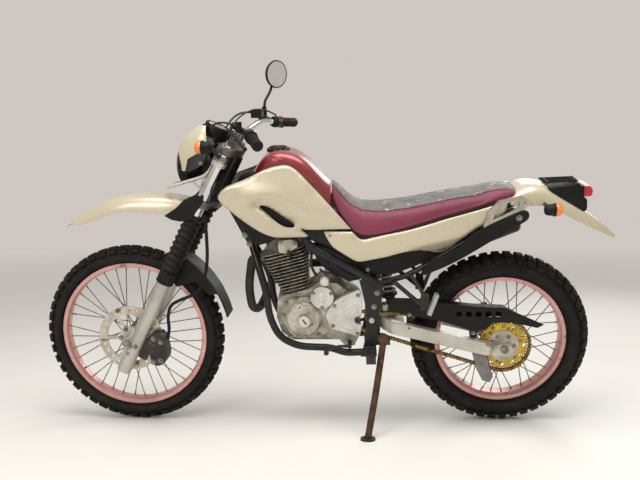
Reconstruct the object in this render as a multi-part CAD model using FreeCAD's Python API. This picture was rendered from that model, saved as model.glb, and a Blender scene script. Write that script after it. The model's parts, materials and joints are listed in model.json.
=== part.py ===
import FreeCAD, Part
import math
import os

V = FreeCAD.Vector

# Dual sport motorcycle, leaning on its side stand with the bars turned a little to the right.
# Every piece is drawn upright and straight ahead, in millimetres: x runs rearward from the front
# wheel's ground contact, y to the rider's right, z up. park() then steers, leans and centres it.

# Stance
WHEELBASE = 1360
CASTER = 26.67
TRAIL = 105
LEAN = 11.3
STEER = -4.9

# Wheels
FRONT_TYRE_R = 340
FRONT_TYRE_HALF = 41
FRONT_RIM_R = 276
FRONT_RIM_HALF = 25
REAR_TYRE_R = 328
REAR_TYRE_HALF = 61
REAR_RIM_R = 241
REAR_RIM_HALF = 36
RIM_WALL = 4
RIM_WELL = 16
BEAD = 9
LUGS = 48
LUG_SHARE = 0.72
LUG_DEPTH = 9
SHOULDER_ANGLE = 52
SIDE_ANGLE = 96
SPOKES = 36
SPOKE_R = 1.8
SPOKE_SEAT_GAP = 0.3
SPOKE_FLANGE_GAP = 1.6
SPOKE_CROSSING = 55
FRONT_HUB_R = 24
FRONT_FLANGE_R = 34
FRONT_FLANGE_Y = 32
REAR_HUB_R = 45
REAR_FLANGE_R = 62
REAR_FLANGE_Y = 34
CARRIER_R = 58
CARRIER_HOLES_R = 39
FLANGE_T = 6
AXLE_R = 8
AXLE_GAP = 0.3
FRONT_DISC_R = 122.5
FRONT_DISC_INNER = 90
DISC_BOSS_R = 33
FRONT_DISC_Y = -60
REAR_DISC_R = 101.5
REAR_DISC_INNER = 72
REAR_DISC_Y = 58
DISC_T = 4
DISC_HOLE_R = 4.5
DISC_HOLES = 24

# Chain drive
CHAIN_PITCH = 12.7
CHAIN_Y = -88
CHAIN_HALF = 7
CHAIN_DEPTH = 12
CHAIN_WAIST = 2.2
CHAIN_GAP = 0.8
TOOTH_DEPTH = 6
SPROCKET_HOLE_R = 7.5
SPROCKET_HOLES = 12
REAR_TEETH = 48
FRONT_TEETH = 15
SPROCKET_T = 6
DRIVE_X = 826
DRIVE_Z = 430

# Fork
FORK_AHEAD = 29
FORK_Y = 95
FORK_TUBE_R = 20.5
SLIDER_R = 25.5
SLIDER_BELOW = 112
SLIDER_TOP = 640
BOOT_LOW = 668
BOOT_TOP = 900
BOOT_R = 34
BOOT_VALLEY = 27
BOOT_RIBS = 10
COLLAR_LOW = 622
COLLAR_R = 32
LOWER_CLAMP = 935
UPPER_CLAMP = 1142
CLAMP_T = 26
CLAMP_R = 31
CLAMP_NOSE = FORK_AHEAD + 8
STEM_R = 14
HEAD_R = 27
FORK_TOP = 1176

# Bars, hand controls, lamps and what else turns with the fork
BAR_ALONG = 1203
BAR_AHEAD = 22
RISER_Y = 38
LEVER_R = 5
MIRROR_BOSS_R = 10
MIRROR_THREAD_R = 5
MIRROR_THREAD_DEEP = 14
MIRROR_BOSS_H = 34
MIRROR_STEP = V(-34, 0, 8)
MIRROR_R = 52
MIRROR_TURN = math.radians(-38)
LAMP_X = 208
LAMP_Z = 985
LAMP_R = 64
BOWL_R = LAMP_R + 4
GUARD_R = 6
GUARD_RING = 1095
SIGNAL_Y = 190
SIGNAL_R = 23
SIGNAL_RING = 1116
SLAB_T = 5
MUD_R = 375
MUD_START = 13
MUD_SPAN = 47
HOSE_R = 6
RUNNING = 5
BAR_R = 11
GRIP_R = 16.5
GRIP_LENGTH = 122
BAR_HALF = 402

# Frame and rear suspension
TUBE_R = 13
SIDE_TUBE_R = 14.5
SUBFRAME_R = 10
RAIL_Y = 88
CRADLE_Y = 95
PIVOT_X = 885
PIVOT_Z = 434
PIVOT_R = 14
PIVOT_BOLT_R = 10
PLATE_Y = 98
PLATE_T = 12
ARM_OUT = 126
ARM_IN = 98
RAIL_FRONT = V(850, 0, 712)
RAIL_BACK = V(1079, 0, 766)
CROSS_FRONT = V(1290, 0, 826)
CROSS_BACK = V(1424, 0, 867)
TANK_PAD_X = 620
UPPER_RAIL_Y = 80
AIR_BOX_FRONT = 832
AIR_BOX_HALF = 86
SHOCK_TOP = V(900, 0, 690)
SHOCK_FOOT = V(964, 0, 452)

# Engine
CYLINDER_X = 610
CYLINDER_Z = 525
CYLINDER_TILT = 14.8
BORE_R = 48
FIN_T = 2.6
FIN_CLIP = 14
FIN_PITCH = 12.6
PORT_OUT = 92
PORT_UP = 146
CYLINDER_FINS = 9
HEAD_JOINT = CYLINDER_FINS * FIN_PITCH + 2
HEAD_FINS = 4
INLET_FOOT = V(625, 0, 678)
INLET_BACK = V(0.985, 0, -0.17).normalize()
INLET_LENGTH = 36
CASE_HALF = 72
COVER_FACE = 108
GENERATOR_X = 641
GENERATOR_Z = 433
GENERATOR_R = 65
PIPE_R = 16
MUFFLER_R = 50

# Side stand
STAND_HINGE = V(927, -138, 372)
STAND_KNEE = V(899, -215, 208)
STAND_X = 868
STAND_Y = -298
STAND_R = 12
STAND_EYE_R = 18
STAND_EYE_HALF = 14
STAND_PAD_R = 26
STAND_PAD_T = 8
STAND_STOWED = V(0.95, -0.22, 0.12)

# Body work
PANEL_T = 4
FENDER_T = 3
SHROUD_BOSSES = ((560, 968), (600, 900))
CAP_R = 41
CAP_X = 556
CAP_Z = 1030
COVER_OUT = 104
GUARD_OUT = -104
LAMP_HALF = 58
BULKHEAD_X = 1493
LENS_X = 1638
RACK_HOLE_R = 4
RACK_HOLE_X = 1406
RACK_HOLE_Z = 866
HANDLE_Y = 120
HANDLE_T = 12
FIT = 0.3

CASTER_RAD = math.radians(CASTER)
LEAN_RAD = math.radians(LEAN)
UP_FORK = V(math.sin(CASTER_RAD), 0, math.cos(CASTER_RAD))
AHEAD = V(-math.cos(CASTER_RAD), 0, math.sin(CASTER_RAD))
HEAD_FOOT = V(-TRAIL, 0, 0)
ALONG_Y = V(0, 1, 0)
ARCH_SPACING = [0.0, 0.65, 2.0, 3.35, 4.0]
BODY_SPACING = [0.0, 1.0, 2.0, 4.0, 6.0, 7.0, 8.0]
ORIGIN = V(0, 0, 0)
FLOOR_UP = V(0, math.sin(LEAN_RAD), math.cos(LEAN_RAD))
STAND_SOLE = V(STAND_X, STAND_Y, -STAND_Y * math.tan(LEAN_RAD))
STAND_AXIS = (STAND_SOLE - STAND_HINGE).cross(STAND_STOWED).normalize()


def steer(shape):
    """A steered piece, turned with the bars about the steering head."""
    turned = shape.copy()
    turned.rotate(HEAD_FOOT, UP_FORK, STEER)
    return turned


def lean(shape):
    """A piece of the leaning motorcycle."""
    leaned = shape.copy()
    leaned.rotate(ORIGIN, V(1, 0, 0), LEAN)
    return leaned


def leaned_axle(z, steered):
    """Height of a leaned axle that was drawn at height z, and the rise of its direction."""
    axle = Part.makeLine(V(0, 0, z), V(0, 1, z))
    axle = lean(steer(axle)) if steered else lean(axle)
    hub_z = axle.valueAt(axle.FirstParameter).z
    return hub_z, axle.tangentAt(axle.FirstParameter).z


def rest_height(tyre_r, tyre_half, steered):
    """Height of an upright axle whose leaned tyre just touches the floor."""
    ground, rise = leaned_axle(0, steered)
    drop = (tyre_r - tyre_half) * math.sqrt(1 - rise * rise) + tyre_half
    return (drop - ground) / (leaned_axle(1, steered)[0] - ground)


def camber(steered):
    """Angle between a leaned wheel and the upright."""
    return math.degrees(math.asin(abs(leaned_axle(0, steered)[1])))


FRONT_Z = rest_height(FRONT_TYRE_R, FRONT_TYRE_HALF, True)
REAR_Z = rest_height(REAR_TYRE_R, REAR_TYRE_HALF, False)
FRONT_AXLE = V(0, 0, FRONT_Z)
REAR_AXLE = V(WHEELBASE, 0, REAR_Z)


def fork_point(along, ahead, y):
    """A point given along the steering head from the ground, ahead of it and sideways."""
    return HEAD_FOOT + UP_FORK * along + AHEAD * ahead + V(0, y, 0)


def fork_along(point):
    """How far along the steering head a point lies."""
    return (point - HEAD_FOOT).dot(UP_FORK)


AXLE_ALONG = fork_along(FRONT_AXLE)


def both(shape):
    """A piece and its mirror image across the centre plane, as one compound."""
    return Part.makeCompound([shape, shape.mirror(ORIGIN, ALONG_Y)])


def joined(shapes):
    """Pieces welded or cast in one."""
    whole = shapes[0].fuse(shapes[1:]).removeSplitter()
    return whole.Solids[0] if len(whole.Solids) == 1 else whole


def plate(outline, y0, y1):
    """A flat piece seen from the side, from y0 to y1."""
    points = [V(x, y0, z) for x, z in outline]
    points.append(points[0])
    return Part.Face(Part.makePolygon(points)).extrude(V(0, y1 - y0, 0))


def rounded_plate(outline, y0, y1):
    """A flat piece whose outline is one smooth closed curve."""
    curve = Part.BSplineCurve()
    curve.interpolate(Points=[V(x, y0, z) for x, z in outline], PeriodicFlag=True)
    return Part.Face(Part.Wire(curve.toShape())).extrude(V(0, y1 - y0, 0))


def bar(start, end, radius):
    """A straight round bar."""
    return Part.makeCylinder(radius, (end - start).Length, start, end - start)


def disc(x, z, radius, y0, y1):
    """A round plate across the motorcycle."""
    return Part.makeCylinder(radius, y1 - y0, V(x, y0, z), ALONG_Y)


def bent_path(points):
    """Straight runs joined by tangent arcs as large as the runs allow."""
    edges = []
    last = points[0]
    for before, corner, after in zip(points, points[1:], points[2:]):
        back = before - corner
        on = after - corner
        run = 0.45 * min(back.Length, on.Length)
        back.normalize()
        on.normalize()
        half = back.getAngle(on) / 2
        start = corner + back * run
        end = corner + on * run
        inward = (back + on).normalize()
        middle = corner + inward * (run / math.cos(half) - run * math.tan(half))
        if (start - last).Length > 0.01:
            edges.append(Part.makeLine(last, start))
        edges.append(Part.Arc(start, middle, end).toShape())
        last = end
    edges.append(Part.makeLine(last, points[-1]))
    return Part.Wire(edges)


def tube(points, radius):
    """A bent round tube."""
    path = bent_path(points)
    ring = Part.Wire(Part.makeCircle(radius, points[0], points[1] - points[0]))
    return path.makePipeShell([ring], True, False)


def boss(start, toward, radius, carried):
    """A round boss upward or sideways, up to its seat just short of the piece that rests on it."""
    along = V(toward).normalize()
    met = Part.makeCylinder(radius, toward.Length, start, along).common(carried).optimalBoundingBox(False)
    corners = (V(met.XMin, met.YMin, met.ZMin), V(met.XMax, met.YMax, met.ZMax))
    reach = min((corner - start).dot(along) for corner in corners)
    return Part.makeCylinder(radius, reach - FIT, start, along)


def turned(profile, centre, axis=ALONG_Y, out=V(1, 0, 0)):
    """A piece turned on a lathe: the profile gives places along the axis and radii."""
    points = [centre + axis * along + out * radius for along, radius in profile]
    points.append(points[0])
    return Part.Face(Part.makePolygon(points)).revolve(centre, axis, 360)


def curve(points, spacing=None):
    """A smooth line through some points, with the same spacing of its spans in every section."""
    line = Part.BSplineCurve()
    line.interpolate(Points=points, Parameters=spacing or [float(number) for number in range(len(points))])
    return line.toShape()


def shell(sections, thickness):
    """A thin moulded panel through sections of outer points, thickened towards its inside."""
    rings = []
    for outer, inward in sections:
        inner = [point + inward * thickness for point in reversed(outer)]
        rings.append(Part.Wire([
            curve(outer),
            Part.makeLine(outer[-1], inner[0]),
            curve(inner),
            Part.makeLine(inner[-1], outer[0]),
        ]))
    return Part.makeLoft(rings, True, False)


def arch(x, top, side, low, half_side, half_low, thickness):
    """Cross-section of a mudguard: an arch from one lower edge over the crown to the other."""
    outer = [V(x, -half_low, low), V(x, -half_side, side), V(x, 0, top),
             V(x, half_side, side), V(x, half_low, low)]
    inner = [V(x, half_low - thickness, low), V(x, half_side - thickness, side - thickness),
             V(x, 0, top - thickness), V(x, thickness - half_side, side - thickness),
             V(x, thickness - half_low, low)]
    return Part.Wire([
        curve(outer, ARCH_SPACING),
        Part.makeLine(outer[-1], inner[0]),
        curve(inner, ARCH_SPACING),
        Part.makeLine(inner[-1], outer[0]),
    ])


def body_section(x, top, low, half_top, half_low, crown):
    """Cross-section of a closed body: flat underneath, sides drawn in, a rounded top."""
    middle = (top + low) / 2
    widest = max(half_top, half_low)
    side = [V(x, -half_low, low), V(x, -widest, middle), V(x, -half_top, top - crown), V(x, 0, top),
            V(x, half_top, top - crown), V(x, widest, middle), V(x, half_low, low)]
    return Part.Wire([curve(side, BODY_SPACING), Part.makeLine(side[-1], side[0])])


def tyre(centre, tyre_r, half, rim_r, rim_half, stand_angle):
    """A tyre of flat facets with its lugs; one lug's corner is straight below the axle."""
    mid = tyre_r - half

    def at(radius, angle):
        return (radius * math.sin(math.radians(angle)), mid + radius * math.cos(math.radians(angle)))

    side = at(half, SIDE_ANGLE)
    lug = tread([at(half, stand_angle), at(half, SHOULDER_ANGLE), side])
    groove = tread([at(half - LUG_DEPTH, stand_angle), at(half - LUG_DEPTH, SHOULDER_ANGLE), side])
    edge_y = rim_half - RIM_WALL - FIT
    bead_r = (rim_r - BEAD + FIT) / math.cos(math.pi / LUGS)

    def around(points, turn):
        angle = 2 * math.pi * turn / LUGS
        return [centre + V(-math.sin(angle) * r, y, -math.cos(angle) * r) for y, r in points]

    facets = []
    for number in range(LUGS):
        begin, end, after = number, number + LUG_SHARE, number + 1
        facets += strips(around(lug, begin), around(lug, end))
        facets += strips(around(groove, end), around(groove, after))
        facets += strips(around(groove, begin), around(lug, begin))
        facets += strips(around(lug, end), around(groove, end))
        wall = [(edge_y, rim_r + 1), (edge_y, bead_r), (-edge_y, bead_r), (-edge_y, rim_r + 1)]
        near, far = around(wall, begin), around(wall, after)
        facets += strips(near, far)
        for last, corner in ((-1, 0), (0, 3)):
            start, middle, stop = (around([lug[last]], turn)[0] for turn in (begin, end, after))
            facets.append([start, middle, near[corner]])
            facets.append([middle, stop, far[corner]])
            facets.append([middle, far[corner], near[corner]])
    return Part.Solid(Part.Shell([facet(corners) for corners in facets]))


def tread(half_section):
    """A whole section of the tread, from one side over the crown to the other."""
    return [(-y, r) for y, r in reversed(half_section)] + half_section


def strips(near, far):
    """Flat strips between two rows of corners; where a corner is shared, a strip is a triangle."""
    found = []
    for a, b, c, d in zip(near, near[1:], far[1:], far):
        corners = [a, b, c, d]
        steps = [(point - corners[number - 1]).Length for number, point in enumerate(corners)]
        found.append([point for point, step in zip(corners, steps) if step > 0.01])
    return [corners for corners in found if len(corners) > 2]


def facet(corners):
    """A flat facet between its corners."""
    return Part.Face(Part.makePolygon(corners + corners[:1]))


def rim(centre, rim_r, half):
    """An aluminium rim: two flanges, two bead seats and the well between them."""
    side = [(half, rim_r), (half - RIM_WALL, rim_r), (half - RIM_WALL, rim_r - BEAD),
            (half * 0.55, rim_r - BEAD - 1), (half * 0.4, rim_r - RIM_WELL)]
    inner = [(-half, rim_r - BEAD - RIM_WALL), (-half * 0.5, rim_r - RIM_WELL - RIM_WALL)]
    profile = side + [(-y, r) for y, r in reversed(side)] + inner + [(-y, r) for y, r in reversed(inner)]
    return turned(profile, centre)


def spoke_set(centre, flange_r, flange_y, rim_in):
    """Laced spokes from both hub flanges to the rim's middle."""
    spokes = []
    step = 360 / SPOKES
    seat_r = rim_in - SPOKE_SEAT_GAP
    reach = Part.makeCylinder(seat_r, 4 * flange_y, centre - V(0, 2 * flange_y, 0), ALONG_Y)
    for number in range(SPOKES):
        side = -1 if number % 2 else 1
        lead = 1 if number % 4 < 2 else -1
        at_rim = math.radians(step * (number + 0.5))
        at_hub = at_rim + math.radians(lead * SPOKE_CROSSING)
        head_y = side * (flange_y + lead * (FLANGE_T / 2 + SPOKE_R + SPOKE_FLANGE_GAP))
        head_r = flange_r - 2 * SPOKE_R
        head = centre + V(math.sin(at_hub) * head_r, head_y, math.cos(at_hub) * head_r)
        nipple = centre + V(math.sin(at_rim) * rim_in, side * 5, math.cos(at_rim) * rim_in)
        nipple = nipple + (nipple - head).normalize() * SPOKE_R
        spokes.append(hex_bar(head, nipple, SPOKE_R).common(reach))
    return Part.makeCompound(spokes)


def hex_bar(start, end, radius):
    """A thin bar with six sides."""
    along = (end - start).normalize()
    across = along.cross(ALONG_Y).normalize()
    third = along.cross(across)
    corners = []
    for number in range(7):
        angle = math.radians(60 * (number % 6))
        corners.append(start + across * (radius * math.cos(angle)) + third * (radius * math.sin(angle)))
    return Part.Face(Part.makePolygon(corners)).extrude(end - start)


def brake_disc(centre, y, outer_r, inner_r, arms):
    """A brake disc on its arms, round the hub's boss."""
    hub_r = DISC_BOSS_R + FIT
    middle = centre + V(0, y - DISC_T / 2, 0)
    band = Part.makeCylinder(outer_r, DISC_T, middle, ALONG_Y)
    band = band.cut(Part.makeCylinder(inner_r, DISC_T, middle, ALONG_Y))
    spider = Part.makeCylinder(hub_r + 9, DISC_T, middle, ALONG_Y)
    spider = spider.cut(Part.makeCylinder(hub_r, DISC_T, middle, ALONG_Y))
    pieces = [spider]
    for number in range(arms):
        arm = Part.makeBox(inner_r - hub_r + 2, DISC_T, 12, middle + V(hub_r + 4, 0, -6))
        arm.rotate(centre, ALONG_Y, number * 360 / arms)
        pieces.append(arm)
    whole = joined([band] + pieces)
    ring_r = (outer_r + inner_r) / 2
    return whole.cut(hole_ring(middle, ring_r, DISC_HOLE_R, DISC_HOLES, DISC_T))


def pitch_radius(teeth):
    """Radius of the circle that a chain's pins follow round a sprocket."""
    return CHAIN_PITCH / (2 * math.sin(math.pi / teeth))


def sprocket(centre, teeth, hub_r):
    """A chain wheel with its teeth just inside the chain and a ring of round holes."""
    base = centre + V(0, CHAIN_Y - SPROCKET_T / 2, 0)
    tip = pitch_radius(teeth) - CHAIN_DEPTH / 2 - CHAIN_GAP
    outline = []
    for number in range(teeth):
        for share, depth in ((-0.16, 0), (0.16, 0), (0.36, TOOTH_DEPTH), (0.64, TOOTH_DEPTH)):
            angle = 2 * math.pi * (number + share) / teeth
            outline.append(base + V(math.cos(angle), 0, math.sin(angle)) * (tip - depth))
    body = facet(outline).extrude(V(0, SPROCKET_T, 0))
    body = body.cut(Part.makeCylinder(hub_r, SPROCKET_T, base, ALONG_Y))
    ring_r = (tip - TOOTH_DEPTH + hub_r + 8) / 2
    return body.cut(hole_ring(base, ring_r, SPROCKET_HOLE_R, SPROCKET_HOLES, SPROCKET_T))


def hole_ring(base, ring_r, hole_r, count, depth):
    """Round holes in a ring about an axle."""
    holes = []
    for number in range(count):
        angle = 2 * math.pi * number / count
        place = base + V(math.cos(angle), 0, math.sin(angle)) * ring_r
        holes.append(Part.makeCylinder(hole_r, depth, place, ALONG_Y))
    return Part.makeCompound(holes)


def chain_corners():
    """The four places where the pitch line leaves or meets a sprocket, and the line's length."""
    drive = V(DRIVE_X, 0, DRIVE_Z)
    small = pitch_radius(FRONT_TEETH)
    large = pitch_radius(REAR_TEETH)
    between = REAR_AXLE - drive
    slope = math.atan2(between.z, between.x)
    spread = math.acos((small - large) / between.Length)
    run = math.sqrt(between.Length ** 2 - (large - small) ** 2)
    back = 2 * spread * large
    front = 2 * (math.pi - spread) * small
    return drive, small, large, slope, spread, run, back, front


def chain_place(distance):
    """A place on the pitch line, that far round from the top of the large sprocket, and outward there."""
    drive, small, large, slope, spread, run, back, front = chain_corners()

    def outward(angle):
        return V(math.cos(angle), 0, math.sin(angle))

    if distance < back:
        normal = outward(slope + spread - distance / large)
        return REAR_AXLE + normal * large, normal
    distance -= back
    if distance < run:
        normal = outward(slope - spread)
        forward = V(normal.z, 0, -normal.x)
        return REAR_AXLE + normal * large + forward * distance, normal
    distance -= run
    if distance < front:
        normal = outward(slope - spread - distance / small)
        return drive + normal * small, normal
    distance -= front
    normal = outward(slope + spread)
    rearward = V(normal.z, 0, -normal.x)
    return drive + normal * small + rearward * distance, normal


def chain_loop():
    """The drive chain as one closed band, scalloped link by link outside."""
    run, back, front = chain_corners()[-3:]
    length = 2 * run + back + front
    links = round(length / CHAIN_PITCH)
    aside = V(0, CHAIN_Y - CHAIN_HALF, 0)
    outer = []
    for number in range(2 * links):
        centre, normal = chain_place(number * length / (2 * links))
        depth = CHAIN_DEPTH / 2 - CHAIN_WAIST * (number % 2)
        outer.append(centre + aside + normal * depth)
    inner = []
    for first, span, steps in ((0, back, REAR_TEETH), (back + run, front, FRONT_TEETH)):
        for number in range(steps + 1):
            centre, normal = chain_place(first + number * span / (steps + 0.001))
            inner.append(centre + aside - normal * (CHAIN_DEPTH / 2))
    across = V(0, 2 * CHAIN_HALF, 0)
    return facet(outer).extrude(across).cut(facet(inner).extrude(across))


def fork_block(along0, along1, ahead0, ahead1, y0, y1):
    """A box square to the steering head."""
    corners = [fork_point(along0, ahead0, y0), fork_point(along0, ahead1, y0),
               fork_point(along0, ahead1, y1), fork_point(along0, ahead0, y1)]
    corners.append(corners[0])
    return Part.Face(Part.makePolygon(corners)).extrude(UP_FORK * (along1 - along0))


def fork_ring(along, height, radius, bore, y):
    """A ring round a fork leg."""
    foot = fork_point(along, FORK_AHEAD, y)
    ring = Part.makeCylinder(radius, height, foot, UP_FORK)
    return ring.cut(Part.makeCylinder(bore, height, foot, UP_FORK))


def clear_of_leg(shape, side):
    """A piece with the seat of one fork tube cut out of it."""
    foot = fork_point(0, FORK_AHEAD, side * FORK_Y)
    return shape.cut(Part.makeCylinder(FORK_TUBE_R + FIT, FORK_TOP, foot, UP_FORK))


def front_hub():
    """Narrow hub with two spoke flanges and the seat of the brake disc."""
    end = FORK_Y - SLIDER_R - FIT
    seat = -FRONT_DISC_Y - DISC_T / 2 - FIT
    inner = FRONT_FLANGE_Y - FLANGE_T / 2
    outer = FRONT_FLANGE_Y + FLANGE_T / 2
    flange = [(inner, FRONT_HUB_R - 2), (inner, FRONT_FLANGE_R), (outer, FRONT_FLANGE_R),
              (outer, FRONT_HUB_R)]
    left = [(end, AXLE_R + AXLE_GAP), (end, 16), (seat + DISC_T + 1, 16),
            (seat + DISC_T + 1, DISC_BOSS_R), (seat, DISC_BOSS_R), (seat, DISC_BOSS_R + 9),
            (seat - 8, DISC_BOSS_R + 9), (outer + 4, FRONT_HUB_R)]
    right = [(outer + 12, FRONT_HUB_R - 2), (outer + 20, 16), (end, 16), (end, AXLE_R + AXLE_GAP)]
    profile = [(-y, r) for y, r in left + flange[::-1]] + flange + right
    return turned(profile, FRONT_AXLE)


def rear_hub():
    """Wide hub with the sprocket's carrier on the left and the brake disc's seat on the right."""
    end = ARM_IN - FIT
    seat = -CHAIN_Y - SPROCKET_T / 2 - FIT
    disc_seat = REAR_DISC_Y - DISC_T / 2 - FIT
    inner = REAR_FLANGE_Y - FLANGE_T / 2
    outer = REAR_FLANGE_Y + FLANGE_T / 2
    carrier = seat + SPROCKET_T + 2
    flange = [(inner, REAR_HUB_R - 3), (inner, REAR_FLANGE_R), (outer, REAR_FLANGE_R), (outer, REAR_HUB_R)]
    left = [(end, AXLE_R + AXLE_GAP), (end, 15), (carrier, 17), (carrier, CARRIER_R), (seat, CARRIER_R),
            (seat, CARRIER_R + 14), (seat - 12, CARRIER_R + 14), (outer + 8, REAR_HUB_R)]
    right = [(disc_seat - 6, REAR_HUB_R), (disc_seat, DISC_BOSS_R + 9), (disc_seat, DISC_BOSS_R),
             (disc_seat + DISC_T + 1, DISC_BOSS_R), (disc_seat + DISC_T + 8, 16), (end, 16),
             (end, AXLE_R + AXLE_GAP)]
    profile = [(-y, r) for y, r in left + flange[::-1]] + flange + right
    body = turned(profile, REAR_AXLE)
    return body.cut(hole_ring(REAR_AXLE - V(0, carrier + 1, 0), CARRIER_HOLES_R, 8.5, 6, 12))


def fork_sliders():
    """The silver lower legs, which carry the axle in lugs ahead of them."""
    foot = fork_point(AXLE_ALONG - SLIDER_BELOW, FORK_AHEAD, FORK_Y)
    leg = Part.makeCylinder(SLIDER_R, SLIDER_TOP - AXLE_ALONG + SLIDER_BELOW, foot, UP_FORK)
    lug = disc(0, FRONT_Z, 19, FORK_Y - SLIDER_R, FORK_Y + 20)
    web = fork_block(AXLE_ALONG - 60, AXLE_ALONG + 60, FORK_AHEAD + 15, FORK_AHEAD + 32,
                     FORK_Y - 12, FORK_Y + 12)
    hole = disc(0, FRONT_Z, AXLE_R + AXLE_GAP, FORK_Y - 40, FORK_Y + 40)
    return both(joined([leg, lug, web]).cut(hole))


def fork_tubes():
    """The polished upper tubes."""
    foot = fork_point(SLIDER_TOP, FORK_AHEAD, FORK_Y)
    return both(Part.makeCylinder(FORK_TUBE_R, FORK_TOP - SLIDER_TOP, foot, UP_FORK))


def fork_boots():
    """Rubber bellows over the tubes, held by a collar over the slider's top."""
    profile = [(COLLAR_LOW, SLIDER_R + FIT), (COLLAR_LOW, COLLAR_R), (BOOT_LOW, COLLAR_R)]
    pitch = (BOOT_TOP - BOOT_LOW) / BOOT_RIBS
    for number in range(BOOT_RIBS):
        low = BOOT_LOW + number * pitch
        profile.append((low + pitch * 0.1, BOOT_VALLEY))
        profile.append((low + pitch * 0.6, BOOT_R))
    profile.append((BOOT_TOP, BOOT_VALLEY))
    profile.append((BOOT_TOP, FORK_TUBE_R + FIT))
    profile.append((SLIDER_TOP + FIT, FORK_TUBE_R + FIT))
    profile.append((SLIDER_TOP + FIT, SLIDER_R + FIT))
    return both(turned(profile, fork_point(0, FORK_AHEAD, FORK_Y), UP_FORK, AHEAD))


def fork_clamps():
    """Both clamps that hold the legs, the stem through the steering head, and the bar's risers."""
    pieces = [Part.makeCylinder(STEM_R, UPPER_CLAMP - LOWER_CLAMP, fork_point(LOWER_CLAMP, 0, 0), UP_FORK)]
    for along in (LOWER_CLAMP, UPPER_CLAMP):
        outline = [(FORK_AHEAD + 17, -60), (CLAMP_NOSE, -20), (CLAMP_NOSE, 20), (FORK_AHEAD + 17, 60),
                   (FORK_AHEAD + 14, FORK_Y),
                   (FORK_AHEAD - 20, FORK_Y), (-22, 24), (-22, -24), (FORK_AHEAD - 20, -FORK_Y),
                   (FORK_AHEAD + 14, -FORK_Y)]
        points = [fork_point(along, ahead, y) for ahead, y in outline]
        points.append(points[0])
        pieces.append(Part.Face(Part.makePolygon(points)).extrude(UP_FORK * CLAMP_T))
        for y in (-FORK_Y, FORK_Y):
            pieces.append(Part.makeCylinder(CLAMP_R, CLAMP_T, fork_point(along, FORK_AHEAD, y), UP_FORK))
    top = UPPER_CLAMP + CLAMP_T
    for y in (-RISER_Y, RISER_Y):
        pieces.append(fork_block(top - 1, BAR_ALONG + BAR_R + 8, BAR_AHEAD - 16, BAR_AHEAD + 16,
                                 y - 12, y + 12))
    whole = joined(pieces)
    whole = clear_of_leg(clear_of_leg(whole, 1), -1)
    centre = fork_point(BAR_ALONG, BAR_AHEAD, 0)
    return whole.cut(disc(centre.x, centre.z, BAR_R + FIT, -RISER_Y - 14, RISER_Y + 14))


def front_axle():
    """The axle through both fork lugs and the hub."""
    shaft = disc(0, FRONT_Z, AXLE_R, -FORK_Y - 30, FORK_Y + 24)
    return joined([shaft, disc(0, FRONT_Z, 13, -FORK_Y - 30, -FORK_Y - 20 - FIT)])


def bar_run(side):
    """The bar's corners on one side, from its middle to its end."""
    middle = fork_point(BAR_ALONG, BAR_AHEAD, 0)
    steps = [(0, 95, 0), (50, 165, 36), (76, 212, 31), (142, BAR_HALF, 11)]
    return [middle + V(x, side * y, z) for x, y, z in steps]


def handlebar():
    """A bent bar, straight between its risers, then up and swept back."""
    left = bar_run(-1)
    return tube(left[::-1] + bar_run(1), BAR_R)


def bar_place(side, inward):
    """A point on the bar's outer run, measured in from its end, and the run's direction."""
    inner, outer = bar_run(side)[-2:]
    along = (outer - inner).normalize()
    return outer - along * inward, along


def grips():
    """Rubber grips over both ends of the bar."""
    pieces = []
    for side in (-1, 1):
        start, along = bar_place(side, GRIP_LENGTH)
        body = bar(start, start + along * (GRIP_LENGTH + 4), GRIP_R)
        flange = bar(start, start + along * 4, GRIP_R + 5)
        bore = bar(start, start + along * (GRIP_LENGTH + FIT), BAR_R + FIT)
        pieces.append(joined([body, flange]).cut(bore))
    return Part.makeCompound(pieces)


def hand_controls():
    """Switch housings, lever perches, levers and the front brake's master cylinder."""
    pieces = []
    for side in (-1, 1):
        start, along = bar_place(side, GRIP_LENGTH + 6)
        switch = bar(start, start - along * 34, 21)
        perch = bar(start - along * 34, start - along * 50, 17)
        mid = start - along * 42
        pivot = mid + V(-62, -side * 28, 30)
        arm = bar(mid, pivot, 10)
        ball = pivot + along * 175 + V(16, 0, -42)
        bend = [pivot + along * 45 + V(-12, 0, -12), pivot + along * 105 + V(2, 0, -28)]
        lever = tube([pivot] + bend + [ball], LEVER_R)
        shapes = [switch, perch, arm, lever, Part.makeSphere(LEVER_R + 2.5, ball)]
        if side > 0:
            shapes.append(Part.makeBox(40, 52, 30, pivot + V(-10, -46, -10)))
        bore = bar(start + along * 10, start - along * 70, BAR_R + FIT)
        shapes.append(Part.makeCylinder(MIRROR_BOSS_R, MIRROR_BOSS_H, mid + MIRROR_STEP))
        whole = joined(shapes).cut(bore)
        if side < 0:
            floor = mid + MIRROR_STEP + V(0, 0, MIRROR_BOSS_H - MIRROR_THREAD_DEEP)
            whole = whole.cut(Part.makeCylinder(MIRROR_THREAD_R, MIRROR_THREAD_DEEP, floor))
        pieces.append(whole)
    return Part.makeCompound(pieces)


def rear_view_mirror():
    """The one mirror, on the right: a bent stem and an oval head."""
    start, along = bar_place(1, GRIP_LENGTH + 6)
    foot = start - along * 42 + MIRROR_STEP + V(0, 0, MIRROR_BOSS_H + FIT)
    head = V(503, 300, 1288)
    stem = tube([foot, foot + V(2, 2, 34), V(487, 284, 1226), head - V(8, 0, 20)], 5)
    nut = Part.makeCylinder(9, 14, foot)
    facing = V(math.cos(MIRROR_TURN), math.sin(MIRROR_TURN), 0)
    profile = [(-20, 0), (-18, 18), (-12, 36), (-2, MIRROR_R - 3), (4, MIRROR_R), (9, MIRROR_R - 2), (9, 0)]
    shield = turned(profile, head, facing, V(0, 0, 1))
    return joined([stem, nut, shield])


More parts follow.
